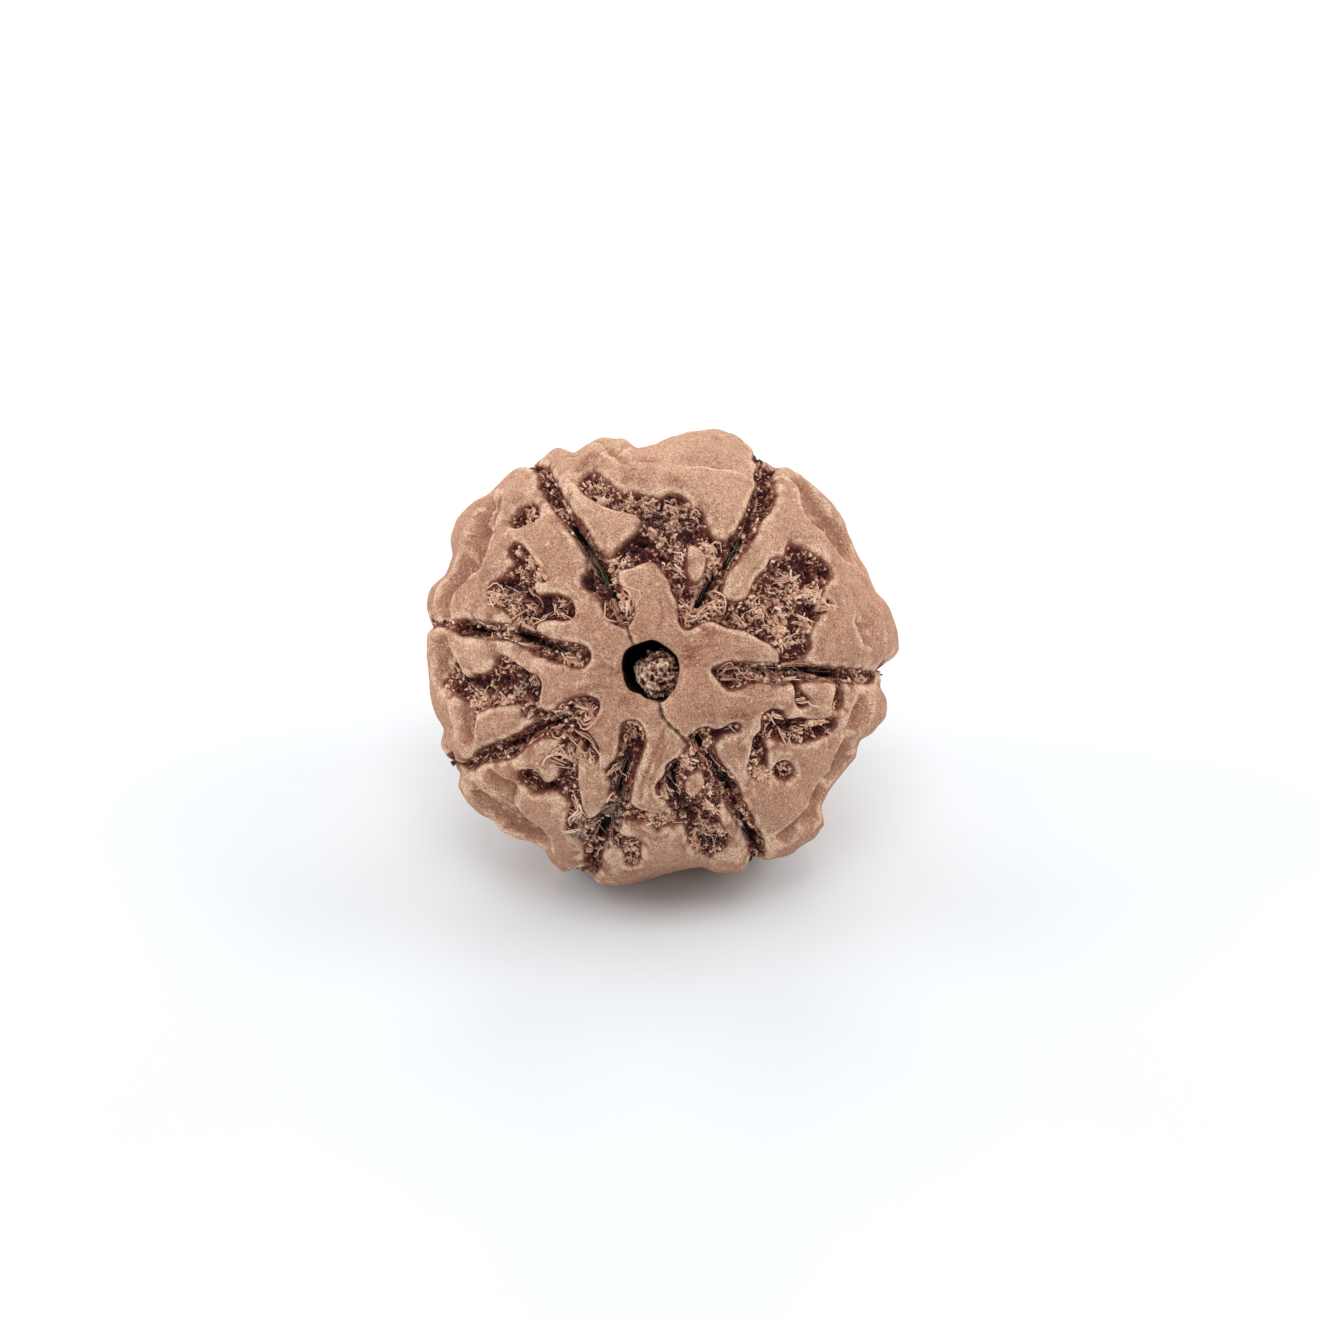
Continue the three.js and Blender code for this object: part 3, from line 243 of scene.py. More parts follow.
# The grooves' open splits, too narrow for the solid, and the hairline cracks by the front mouth
front_splits = [
    [[-4.0, 7.35, 0.1], [-3.65, 6.95, 0.17], [-3.3, 6.4, 0.17], [-2.85, 5.6, 0.2], [-2.5, 4.95, 0.22],
     [-2.2, 4.5, 0.24], [-1.95, 4.0, 0.12]],
    [[5.35, 8.75, 0.12], [5.15, 8.1, 0.1], [4.95, 7.4, 0.05]],
    [[4.75, 7.0, 0.06], [4.4, 6.3, 0.15], [4.0, 5.6, 0.2], [3.75, 5.3, 0.1]],
    [[3.35, 5.0, 0.14], [3.0, 4.5, 0.17], [2.75, 3.9, 0.17], [2.4, 3.2, 0.14], [2.1, 2.9, 0.05]],
    [[4.9, 0.0, 0.06], [5.6, 0.05, 0.1], [6.6, 0.0, 0.08], [7.4, 0.05, 0.08], [8.1, 0.0, 0.13],
     [8.7, -0.1, 0.2], [9.25, -0.22, 0.2], [9.45, -0.3, 0.08]],
    [[-9.15, 2.25, 0.1], [-8.8, 2.1, 0.18], [-8.3, 1.95, 0.15], [-8.0, 1.9, 0.06]],
    [[-7.0, 1.95, 0.12], [-6.6, 1.75, 0.2], [-6.0, 1.6, 0.17], [-5.7, 1.4, 0.1]],
    [[-5.5, 1.3, 0.12], [-5.0, 1.15, 0.17], [-4.5, 1.0, 0.13], [-4.2, 0.85, 0.05]],
    [[-5.05, -2.85, 0.06], [-4.75, -2.65, 0.17], [-4.45, -2.5, 0.17], [-4.2, -2.42, 0.08]],
    [[-7.2, -3.8, 0.1], [-6.7, -3.7, 0.13]],
    [[-1.15, -4.2, 0.12], [-1.25, -4.7, 0.23], [-1.35, -5.3, 0.22], [-1.5, -5.9, 0.12], [-1.7, -6.5, 0.07]],
    [[-2.05, -7.75, 0.1], [-2.3, -8.0, 0.3], [-2.6, -8.35, 0.32], [-2.75, -8.85, 0.12]],
    [[2.35, -3.4, 0.12], [2.55, -3.75, 0.2], [2.75, -4.1, 0.1]],
    [[3.3, -5.3, 0.15], [3.7, -5.6, 0.24], [4.0, -5.9, 0.24], [4.1, -6.4, 0.1]],
    [[4.5, -7.3, 0.1], [4.9, -8.0, 0.15], [5.2, -8.5, 0.17], [5.35, -9.0, 0.1]],
    [[1.2, -4.95, 0.15], [1.1, -5.5, 0.22], [1.25, -6.0, 0.17], [1.4, -6.3, 0.08]],
    [[1.0, -7.2, 0.1], [1.5, -7.35, 0.17], [2.0, -7.4, 0.12]],
    [[0.65, 5.75, 0.08], [0.85, 5.45, 0.15], [1.0, 5.15, 0.08]],
]
front_cracks = [
    [[-1.95, 4.1, 0.05], [-1.75, 3.6, 0.05], [-1.5, 3.05, 0.05], [-1.32, 2.6, 0.015], [-1.1, 2.0, 0.01],
     [-0.95, 1.6, 0.01], [-0.8, 1.25, 0.02]],
    [[0.45, -1.4, 0.04], [0.55, -1.9, 0.02], [0.62, -2.2, 0.02], [0.95, -2.6, 0.02], [1.3, -2.9, 0.02],
     [1.6, -3.3, 0.025], [1.85, -3.65, 0.05]],
]

# Faint growth creases, and reddish stains [x, y, radius]
front_creases = [
    [[0.75, -2.7, 0.04], [0.25, -4.0, 0.05], [-0.15, -5.0, 0.05], [-0.42, -5.7, 0.05], [-0.4, -6.2, 0.03]],
    [[0.75, -3.6, 0.03], [0.45, -4.4, 0.04], [0.1, -5.2, 0.04], [0.1, -6.2, 0.03]],
    [[-2.9, 0.0, 0.04], [-2.2, 0.25, 0.05], [-1.7, 0.1, 0.03]],
    [[-3.4, -0.9, 0.03], [-2.5, -0.75, 0.05], [-1.8, -0.85, 0.03]],
    [[1.7, 0.9, 0.03], [2.4, 1.1, 0.04], [3.3, 1.25, 0.03]],
    [[1.7, 0.2, 0.03], [2.3, 0.3, 0.04], [2.9, 0.2, 0.03]],
    [[-0.9, 3.6, 0.03], [-0.75, 2.8, 0.04], [-0.6, 2.1, 0.03]],
    [[0.5, 3.4, 0.03], [0.6, 2.7, 0.04], [0.5, 2.1, 0.03]],
    [[-0.8, -2.0, 0.03], [-0.6, -2.7, 0.04], [-0.1, -3.1, 0.03]],
]
front_stains = [
    [-0.1, 10.2, 0.6], [-0.8, 9.5, 0.9], [-3.3, 9.6, 0.9], [-1.75, 0.0, 0.4], [-1.2, -1.4, 0.35],
    [1.9, 0.9, 0.5], [2.9, 1.9, 0.5], [3.7, -3.0, 0.9], [-10.0, 0.2, 0.6], [8.6, 3.9, 0.7],
    [-6.4, 4.9, 0.5], [4.4, -2.3, 0.5], [4.6, -3.6, 0.5], [-2.8, 10.2, 0.8], [1.3, 9.1, 0.5],
    [-6.2, 7.7, 0.8], [-3.8, 10.4, 0.5], [3.2, 11.3, 0.25], [7.1, -2.9, 1.3],
]

# Where straw-coloured shreds gather, and where the tissue is purplest: [x, y, radius]
pale_spots = [
    [6.7, 3.4, 1.1], [7.6, 2.9, 0.6], [8.4, 3.9, 0.6], [5.4, 3.0, 0.6], [6.4, 4.2, 0.5], [-7.7, 3.6, 0.5],
    [-6.3, 3.1, 0.4], [-6.4, 2.3, 0.5], [-4.5, 3.2, 0.4], [-5.3, 2.7, 0.3], [-3.1, 9.05, 0.25],
    [-2.5, 8.6, 0.25], [-0.9, 8.6, 0.25], [-0.3, 8.1, 0.3], [1.1, 8.2, 0.3], [2.3, 7.7, 0.3],
    [0.1, 6.85, 0.3], [1.7, 6.8, 0.35], [0.5, 6.5, 0.25], [-1.2, 5.5, 0.3], [1.4, 5.4, 0.35],
    [1.35, 4.95, 0.3], [0.7, 5.2, 0.25], [2.9, 6.2, 0.3], [7.2, 4.4, 0.4], [6.5, 4.6, 0.3],
    [8.65, 3.3, 0.35], [7.8, 2.5, 0.35], [5.6, 2.9, 0.3], [4.5, 2.4, 0.35], [5.9, 2.0, 0.3],
    [6.6, 2.0, 0.35], [7.0, 1.45, 0.4], [6.05, -2.2, 0.3], [6.55, -3.35, 0.3], [7.5, -3.1, 0.35],
    [5.9, -3.1, 0.3], [8.2, -2.7, 0.3], [5.6, -5.2, 0.35], [6.6, -5.05, 0.3], [6.8, -8.0, 0.3],
    [0.7, -6.2, 0.35], [-1.85, -5.1, 0.3], [1.85, -4.9, 0.3], [3.0, -6.7, 0.3], [0.0, -7.6, 0.3],
    [0.85, -7.6, 0.3], [2.3, -8.8, 0.3], [2.9, -8.4, 0.3], [-4.2, -4.4, 0.25], [-6.05, -5.4, 0.2],
    [-5.9, -6.0, 0.2], [-5.4, -6.05, 0.2], [-3.4, -6.9, 0.3], [-3.8, -7.9, 0.3], [-7.3, -1.5, 0.3],
    [-8.65, -1.25, 0.3], [-5.75, -0.5, 0.3], [-6.15, -2.1, 0.3], [-9.2, -1.9, 0.3], [-1.5, 3.2, 0.6],
    [2.3, 3.0, 0.5], [3.3, 3.3, 0.3], [4.7, -0.3, 0.5], [-3.2, -2.0, 0.6], [-4.0, 0.9, 0.6],
    [-2.9, -4.3, 0.4], [-6.7, 5.7, 0.25], [-5.3, 4.8, 0.3], [-6.2, 7.7, 0.3],
]
purple_spots = [
    [-2.0, 8.3, 0.5], [0.3, 7.5, 1.2], [1.8, 7.2, 0.9], [-0.9, 6.2, 0.7], [0.9, 8.5, 0.6], [7.7, 5.3, 0.7],
    [9.0, 4.9, 0.4], [8.0, 3.2, 0.4], [-7.2, 4.1, 0.5], [-6.3, 4.0, 0.6], [-5.1, 3.3, 0.7],
    [-6.9, 5.2, 0.4], [-6.3, -0.3, 0.6], [-5.8, -1.2, 0.5], [-7.3, -0.9, 0.6], [-8.8, -0.8, 0.5],
    [-5.2, -4.9, 0.4], [-4.7, -5.9, 0.5], [0.9, -5.2, 0.6], [1.4, -6.5, 0.7], [2.4, -7.3, 0.8],
    [3.0, -8.8, 0.6], [7.1, -3.3, 0.5], [8.6, -2.9, 0.5], [3.9, -2.9, 0.5], [-3.1, 4.4, 0.4],
    [3.4, -4.9, 0.5],
]


def smooth_step(low, high, value):
    share = np.clip((value - low) / (high - low), 0, 1)
    return share * share * (3 - 2 * share)


def blend(low, high, share):
    return low + (high - low) * share


def radius_curve(points):
    """A closed curve of radius by angle, through given [angle, radius] points."""
    points = sorted((angle % 360, radius) for angle, radius in points)
    angles = np.array([points[-1][0] - 360] + [angle for angle, _ in points] + [points[0][0] + 360])
    radii = np.array([points[-1][1]] + [radius for _, radius in points] + [points[0][1]])

    def radius_at(turn):
        turn = np.mod(turn, 360)
        after = np.clip(np.searchsorted(angles, turn, side="right"), 1, len(angles) - 1)
        along = (turn - angles[after - 1]) / (angles[after] - angles[after - 1])
        eased = along * along * (3 - 2 * along)
        return blend(radii[after - 1], radii[after], (along + eased) / 2)

    return radius_at


middle_outline = np.array(outline) + front_mouth
outline_radius = radius_curve(
    [[math.degrees(math.atan2(y, x)), math.hypot(x, y)] for x, y in middle_outline]
)
averaged_arc_deg = 28
arc_offsets = averaged_arc_deg * np.linspace(-1, 1, 9)
plain_radius = radius_curve(
    [[turn, outline_radius(turn + arc_offsets).mean()] for turn in range(0, 360, 30)]
)


def radius_of(turn, down):
    """The smooth stone's radius, by the angle about its channel and the angle down from its front mouth."""
    band = np.exp(-(((down - 90) / waist_band_deg) ** 2))
    return blend(plain_radius(turn), outline_radius(turn), band)


def smooth_stone(turn, down):
    """Points of the smooth stone, by the same two angles."""
    across = radius_of(turn, down) * np.sin(np.radians(down))
    x = across * np.cos(np.radians(turn))
    y = across * np.sin(np.radians(turn))
    return np.stack([x, y, half_length * np.cos(np.radians(down))], axis=-1)


# Marks are laid on the stone in rounds, each of them closer to where the picture has them
laying_rounds = 12
rim_share = 0.985


def angles_of_place(x, y, rounds=laying_rounds):
    """The angles of a place given by x and y from the front mouth."""
    across = x + front_mouth[0]
    up = y + front_mouth[1]
    turn = np.degrees(np.arctan2(up, across))
    down = 90
    for _ in range(rounds):
        share = np.minimum(np.hypot(across, up) / radius_of(turn, down), rim_share)
        down = np.degrees(np.arcsin(share))
    return turn, down


def lay_on_front(line, rounds=laying_rounds):
    """A line of marks as points of the smooth stone, each with its half-width along the surface."""
    line = np.array(line, float)
    before = line[np.maximum(np.arange(len(line)) - 1, 0), :2]
    after = line[np.minimum(np.arange(len(line)) + 1, len(line) - 1), :2]
    heading = (after - before) / np.linalg.norm(after - before, axis=1)[:, None]
    side = np.stack([-heading[:, 1], heading[:, 0]], axis=1) * line[:, 2:]
    left = smooth_stone(*angles_of_place(line[:, 0] + side[:, 0], line[:, 1] + side[:, 1], rounds))
    right = smooth_stone(*angles_of_place(line[:, 0] - side[:, 0], line[:, 1] - side[:, 1], rounds))
    half_width = np.linalg.norm(left - right, axis=1) / 2
    return np.column_stack([smooth_stone(*angles_of_place(line[:, 0], line[:, 1], rounds)), half_width])


# The grooves go on over the rim and down the unseen side to the back mouth
groove_step_deg = 6
groove_wander_deg = 3.5
groove_wander_rate = 3
groove_side_width = 0.26
groove_back_width = 0.45
groove_widens_deg = (110, 160)
groove_end_from_mouth = 2.7
back_mouth = np.array([-front_mouth[0], -front_mouth[1], -half_length])


def groove_down_side(line, index):
    """The points of a groove from the rim to the back mouth, gently waving, each with its half-width."""
    start_turn, start_down = angles_of_place(line[0][0], line[0][1])
    rows = []
    down = start_down
    while down < 180:
        phase = math.radians((down - start_down) * groove_wander_rate) + index
        at = smooth_stone(start_turn + groove_wander_deg * math.sin(phase), down)
        if np.linalg.norm(at - back_mouth) < groove_end_from_mouth:
            break
        widened = smooth_step(*groove_widens_deg, down)
        rows.append([*at, blend(groove_side_width, groove_back_width, widened)])
        down += groove_step_deg
    return np.array(rows)


grooves = [
    np.concatenate([groove_down_side(line, index)[::-1], lay_on_front(line)])
    for index, line in enumerate(front_grooves)
]
valleys = [lay_on_front(line) for line in front_valleys]
hollows = [lay_on_front(line) for line in front_hollows]
splits = [lay_on_front(line) for line in front_splits]
cracks = [lay_on_front(line) for line in front_cracks]
creases = [lay_on_front(line) for line in front_creases]
crests = [np.column_stack([lay_on_front(line)[:, :3], np.array(line)[:, 2]]) for line in front_crests]

# The spot that the stone lies on
downward = np.array([0, -math.cos(mouth_rise), -math.sin(mouth_rise)])
spot_turns, spot_downs = np.meshgrid(np.arange(240.0, 300.0), np.arange(90.0, 150.0))
spot_points = smooth_stone(spot_turns.ravel(), spot_downs.ravel())
flat_spot = spot_points[np.argmax(spot_points @ downward)]

# Pits on the unseen sides, scattered by the solid's own rule, which lays the marks they avoid in one round
scatter_tries = 5200
scatter_from = math.cos(math.radians(76))
scatter_to = math.cos(math.radians(166))
scatter_step = 1.05
scatter_turn = 1.7
scatter_gap = 2.1
scatter_gap_to_groove = 1.35
scatter_gap_to_mouth = 2.9
scatter_gap_to_flat = 3.7
scatter_width = (0.36, 0.62)
scatter_fewest_steps = 2
scatter_step_choices = 3
draw_state = 20417


def draw():
    """Random draws from 0 to 1, the same on each run."""
    global draw_state
    draw_state = (draw_state * 1664525 + 1013904223) % 4294967296
    return draw_state / 4294967296


solid_grooves = [
    np.concatenate([groove_down_side(line, index)[::-1], lay_on_front(line, rounds=1)])
    for index, line in enumerate(front_grooves)
]
groove_points = np.concatenate([line[:, :3] for line in solid_grooves])
groove_middles = np.concatenate([(line[1:, :3] + line[:-1, :3]) / 2 for line in solid_grooves])
groove_points = np.concatenate([groove_points, groove_middles])
low_pits = [[-0.95, -9.6], [-0.8, -9.0], [2.8, -8.6], [3.3, -8.9]]
taken_points = np.concatenate(
    [lay_on_front(line, rounds=1)[:, :3] for line in front_valleys + front_hollows]
    + [[smooth_stone(*angles_of_place(x, y, rounds=1))] for x, y in low_pits]
)


def has_room(at, taken):
    """Whether a point of a pit keeps clear of the grooves, back mouth, flat spot and other pits."""
    return (
        np.linalg.norm(at - back_mouth) > scatter_gap_to_mouth
        and np.linalg.norm(at - flat_spot) > scatter_gap_to_flat
        and np.linalg.norm(groove_points - at, axis=1).min() >= scatter_gap_to_groove
        and np.linalg.norm(taken - at, axis=1).min() >= scatter_gap
    )


scattered = []
for _ in range(scatter_tries):
    down = math.degrees(math.acos(blend(scatter_to, scatter_from, draw())))
    turn = 360 * draw()
    heading = 2 * math.pi * draw()
    steps = scatter_fewest_steps + math.floor(scatter_step_choices * draw())
    half_width = blend(*scatter_width, draw())
    line = []
    for _ in range(steps):
        at = smooth_stone(turn, down)
        if not has_room(at, taken_points):
            break
        line.append([*at, half_width * (0.8 + 0.4 * draw())])
        heading += scatter_turn * (draw() - 0.5)
        down += math.degrees(math.cos(heading) * scatter_step / half_length)
        turn += math.degrees(math.sin(heading) * scatter_step / math.hypot(at[0], at[1]))
    if len(line) > 1:
        scattered.append(np.array(line))
        taken_points = np.concatenate([taken_points, scattered[-1][:, :3]])

# The slow swell of the plates
swell_length = 4.2
swell_count = 9
swell_waves = []
for _ in range(swell_count):
    direction = np.array([draw() - 0.5, draw() - 0.5, draw() - 0.5])
    direction *= 2 * math.pi / swell_length / np.linalg.norm(direction)
    swell_waves.append((direction, 2 * math.pi * draw()))


def swell(points):
    waves = [np.sin(points @ direction + start) for direction, start in swell_waves]
    return sum(waves) / math.sqrt(swell_count)


corner_rounding = 0.1
farthest_felt = 2.5


def distance_to_marks(points, lines):
    """Distance from each point to the nearest mark's edge: below zero is inside a mark."""
    total = np.full(len(points), math.exp(-farthest_felt / corner_rounding))
    for line in lines:
        for start, end in zip(line[:-1], line[1:]):
            middle = (start[:3] + end[:3]) / 2
            run = end[:3] - start[:3]
            reach = np.linalg.norm(run) / 2 + farthest_felt + max(start[3], end[3])
            near = np.flatnonzero(np.abs(points - middle).max(axis=1) < reach)
            offset = points[near] - start[:3]
            along = np.clip(offset @ run / max(run @ run, 1e-9), 0, 1)
            half_width = start[3] + (end[3] - start[3]) * along
            distance = np.linalg.norm(offset - along[:, None] * run, axis=1) - half_width
            total[near] += np.exp(-np.minimum(distance, farthest_felt) / corner_rounding)
    return -corner_rounding * np.log(total)


def corners_cut(outline):
    """A closed outline with its corners cut off twice, so that it curves."""
    points = np.array(outline, float)
    for _ in range(2):
        after = np.roll(points, -1, axis=0)
        cuts = np.stack([0.75 * points + 0.25 * after, 0.25 * points + 0.75 * after], axis=1)
        points = cuts.reshape(-1, 2)
    return points


def distance_to_outlines(points, outlines):
    """Distance from each point to the nearest outline on the front: below zero is inside one."""
    distance = np.full(len(points), farthest_felt)
    flat = points[:, :2] - front_mouth
    for outline in outlines:
        corners = corners_cut(outline)
        low = corners.min(axis=0) - farthest_felt
        high = corners.max(axis=0) + farthest_felt
        near = np.flatnonzero(((flat > low) & (flat < high)).all(axis=1) & (points[:, 2] > 0))
        place = flat[near]
        nearest = np.full(len(near), farthest_felt)
        inside = np.zeros(len(near), bool)
        laid = smooth_stone(*angles_of_place(corners[:, 0], corners[:, 1]))
        for index in range(len(corners)):
            start = laid[index - 1]
            run = laid[index] - start
            offset = points[near] - start
            along = np.clip(offset @ run / max(run @ run, 1e-9), 0, 1)
            nearest = np.minimum(nearest, np.linalg.norm(offset - along[:, None] * run, axis=1))
            (x0, y0), (x1, y1) = corners[index - 1], corners[index]
            if y0 != y1:
                crossed = (place[:, 1] < y0) != (place[:, 1] < y1)
                inside ^= crossed & (place[:, 0] < x0 + (place[:, 1] - y0) * (x1 - x0) / (y1 - y0))
        distance[near] = np.minimum(distance[near], np.where(inside, -nearest, nearest))
    return distance


def bumps(points, size, seed):
    """Smooth noise from -1 to 1 whose bumps are that many millimetres; its large numbers only scramble."""
    place = points / size + seed * 7.31
    cell = np.floor(place).astype(np.int64)
    part = place - cell
    ease = part * part * (3 - 2 * part)
    total = np.zeros(len(points))
    for corner in itertools.product((0, 1), repeat=3):
        mixed = (cell + np.array(corner)) @ np.array([73856093, 19349663, 83492791]) + seed * 1013
        mixed = (mixed ^ (mixed >> 13)) * 1274126177 & 0x7FFFFFFF
        mixed = (mixed ^ (mixed >> 11)) * 668265263 & 0x7FFFFFFF
        weight = np.where(np.array(corner) == 1, ease, 1 - ease).prod(axis=1)
        total += weight * (mixed / 0x3FFFFFFF - 1)
    return total


def ridges(points, size, seed):
    """Noise with sharp ridges and round hollows between them."""
    return 0.6 - 1.6 * np.abs(bumps(points, size, seed))


def bumps_together(points, rows):
    """Bumps of several sizes added up: rows of size, height and seed."""
    return sum(height * bumps(points, size, seed) for size, height, seed in rows)


def crest_drop(points):
    """How far the surface has broken off beside each crest, and the distance to the crest's edge."""
    nearest = np.full(len(points), farthest_felt)
    to_crest = np.full(len(points), farthest_felt)
    drop = np.zeros(len(points))
    for line in crests:
        for start, end in zip(line[:-1], line[1:]):
            middle = (start[:3] + end[:3]) / 2
            run = end[:3] - start[:3]
            reach = np.linalg.norm(run) / 2 + farthest_felt
            near = np.flatnonzero(np.abs(points - middle).max(axis=1) < reach)
            offset = points[near] - start[:3]
            along = np.clip(offset @ run / (run @ run), 0, 1)
            away = offset - along[:, None] * run
            distance = np.linalg.norm(away, axis=1)
            low_side = np.sign(away @ np.cross(run, middle))
            closer = distance < nearest[near]
            chosen = near[closer]
            nearest[chosen] = distance[closer]
            side = low_side[closer] * distance[closer]
            depth = start[3] + (end[3] - start[3]) * along[closer]
            broken = smooth_step(-crest_edge, crest_wall, side)
            drop[chosen] = crest_strength * depth * broken * np.exp(-np.maximum(side, 0) / crest_reach)
            shallow = 1 - smooth_step(0.0, crest_clear_depth, depth)
            to_crest[chosen] = np.sign(side) * (np.abs(side) + crest_fading * shallow)
    return drop, to_crest


# Relief of the surface over the smooth stone, in millimetres
pit_ledge = 0.28
pit_depth = 0.6
pit_reach = 0.6
pit_wall = 0.12
groove_ledge = 0.2
groove_depth_by_mouth = 0.68
groove_depth_at_waist = 0.42
groove_reach = 0.42
ledge_width = 0.06
split_depth = 0.65
split_edge = 0.06
crack_depth = 0.22
crack_edge = (-0.05, 0.03)
crack_wander = 0.4
crease_depth = 0.05
crease_edge = (-0.05, 0.12)
crest_edge = 0.03
crest_wall = 0.12
crest_reach = 0.7
crest_strength = 1.6
crest_fading = 0.3
crest_clear_depth = 0.25
valley_depth = 0.55
valley_softness = 0.42
edge_lip = 0.09
lip_variety = 0.7
lip_variety_length = 2.6
plate_crown = 0.42
plate_crown_width = 0.42
plate_crown_middle = 0.6
waist_softness = 2.6
seen_to_deg = (60, 85)
scatter_hiding = 1.4
scatter_shown_deg = (84, 96)
hollow_depth = 0.14
litter_start = (0.06, 0.34)
pale_rise = 0.2
clump_rise = 0.25
clump_bumps = [(0.9, 0.6, 34), (0.42, 0.4, 35)]
plate_bumps = [(1.6, 0.08, 4), (0.65, 0.034, 5), (0.28, 0.013, 6)]
swell_height = 0.12
wrinkle_length = 1.7
wrinkle_width = 0.07
wrinkle_depth = 0.03
hub_reach = 3.6
mouth_rim_width = 0.34
mouth_rim_drop = 0.32
wander = [(0.9, 0.11), (0.4, 0.07), (0.18, 0.03)]
steadier_where_seen = 0.6


def stone_relief(points, down):
    """How far the surface stands from the smooth stone, and what each point is part of."""
    near_waist = np.exp(-(((down - waist_deg) / waist_band_deg) ** 2))
    seen = 1 - smooth_step(*seen_to_deg, down)
    moved = points.copy()
    for size, reach in wander:
        for axis in range(3):
            moved[:, axis] += reach * (1 - steadier_where_seen * seen) * bumps(points, size, 11 + axis)
    lip = edge_lip * (1 + lip_variety * np.maximum(bumps(points, lip_variety_length, 7), -0.5))
    pit_lip = lip * blend(1, waist_softness, near_waist)
    to_plate = distance_to_outlines(moved, plate_outlines)
    hidden = 1 - smooth_step(*scatter_shown_deg, down)
    to_scattered = distance_to_marks(moved, scattered) + scatter_hiding * hidden
    to_pit = np.minimum(distance_to_outlines(moved, pit_outlines), to_scattered)
    to_pit = np.maximum(to_pit, -to_plate)
    to_groove = np.minimum(distance_to_outlines(moved, groove_outlines), distance_to_marks(moved, grooves))
    to_groove = np.maximum(to_groove, -to_plate)
    to_valley = distance_to_marks(moved, valleys)
    to_hollow = distance_to_marks(moved, hollows)
    to_split = distance_to_marks(2 * moved - points, splits)
    to_crack = distance_to_marks(points + crack_wander * (moved - points), cracks)
    to_crease = distance_to_marks(moved, creases)
    in_pit = 1 - smooth_step(-pit_wall, pit_lip, to_pit)
    in_groove = 1 - smooth_step(-pit_wall, lip, to_groove)
    in_valley = 1 - smooth_step(-valley_softness, valley_softness, to_valley)
    in_hollow = 1 - smooth_step(-valley_softness, valley_softness, to_hollow)
    in_split = 1 - smooth_step(-split_edge, split_edge, to_split)
    in_crack = 1 - smooth_step(*crack_edge, to_crack)
    in_crease = 1 - smooth_step(*crease_edge, to_crease)
    crumbs = 0.22 * ridges(points, 0.55, 1) + 0.16 * ridges(points, 0.26, 2) + 0.1 * bumps(points, 0.14, 3)
    pit_cut = in_pit * blend(pit_ledge, pit_depth, smooth_step(ledge_width, pit_reach, -to_pit))
    groove_depth = blend(groove_depth_by_mouth, groove_depth_at_waist, near_waist)
    groove_start = np.minimum(groove_ledge, 0.6 * groove_depth)
    further_in = smooth_step(ledge_width, groove_reach, -to_groove)
    groove_cut = in_groove * blend(groove_start, groove_depth, further_in)
    cut = np.maximum(pit_cut, groove_cut)
    litter = np.maximum(in_pit, in_groove)
    spots = {}
    for name, places in (("paleness", pale_spots), ("purple", purple_spots), ("stained", front_stains)):
        spots[name] = np.zeros(len(points))
        for x, y, radius in places:
            away = np.linalg.norm(moved - smooth_stone(*angles_of_place(x, y)), axis=1)
            spots[name] = np.maximum(spots[name], np.exp(-((away / radius) ** 2)))
    clump = bumps_together(points, clump_bumps)
    risen = crumbs + pale_rise * spots["paleness"] + clump_rise * clump
    cut = cut - litter * risen * smooth_step(*litter_start, cut)
    cut = np.maximum(cut, valley_depth * in_valley)
    cut = np.maximum(cut, hollow_depth * in_hollow)
    cut = cut + split_depth * in_split * litter + crack_depth * in_crack
    to_edge = np.minimum(to_pit, to_groove)
    crown = plate_crown * (plate_crown_middle - np.exp(-np.maximum(to_edge, 0) / plate_crown_width))
    side = np.sign(points[:, 2])
    mouth_offset = points[:, :2] - side[:, None] * front_mouth
    from_mouth = np.hypot(mouth_offset[:, 0], mouth_offset[:, 1]) - mouth_size
    from_mouth[np.abs(points[:, 2]) < half_length / 2] = farthest_felt
    rim = mouth_rim_drop * (1 - smooth_step(-mouth_rim_width, mouth_rim_width, from_mouth))
    wrinkles = np.exp(-((bumps(points, wrinkle_length, 8) / wrinkle_width) ** 2))
    wrinkles *= smooth_step(-0.2, 0.4, bumps(points, 3.1, 9))
    fine = bumps_together(points, plate_bumps) - wrinkle_depth * wrinkles - crease_depth * in_crease
    dropped, to_crest = crest_drop(moved)
    calm = smooth_step(*flat_spot_calm, np.linalg.norm(points - flat_spot, axis=1))
    height = calm * (swell_height * swell(points) + fine + crown - cut - dropped) - rim
    parts = {
        "to_edge": np.clip(to_edge, -1.5, 1.5),
        "litter": calm * litter,
        "in_groove": in_groove,
        "in_split": np.maximum(in_split * litter, in_crack),
        "to_split": np.clip(np.minimum(to_split + 1 - litter, to_crack), -1, 1),
        "cut_depth": calm * cut,
        "dropped": calm * np.maximum(dropped, valley_depth * in_valley * (1 - litter)),
        "to_crest": np.clip(to_crest, -1, 1),
        "creased": in_crease,
        "clump": clump,
        "hub": np.exp(-((np.linalg.norm(points - [*front_mouth, half_length], axis=1) / hub_reach) ** 2)),
        **spots,
    }
    return height, parts


# The starting shape has its faces even; they are drawn together towards the front mouth
surface_rows = 98
front_fineness = 0.45
bpy.ops.object.select_all(action="DESELECT")
bpy.ops.mesh.primitive_ico_sphere_add(subdivisions=1, radius=1)
stone = bpy.context.object
stone.name = "stone"
bpy.ops.object.mode_set(mode="EDIT")
bpy.ops.mesh.select_all(action="SELECT")
bpy.ops.mesh.subdivide(number_cuts=surface_rows - 1)
bpy.ops.object.mode_set(mode="OBJECT")


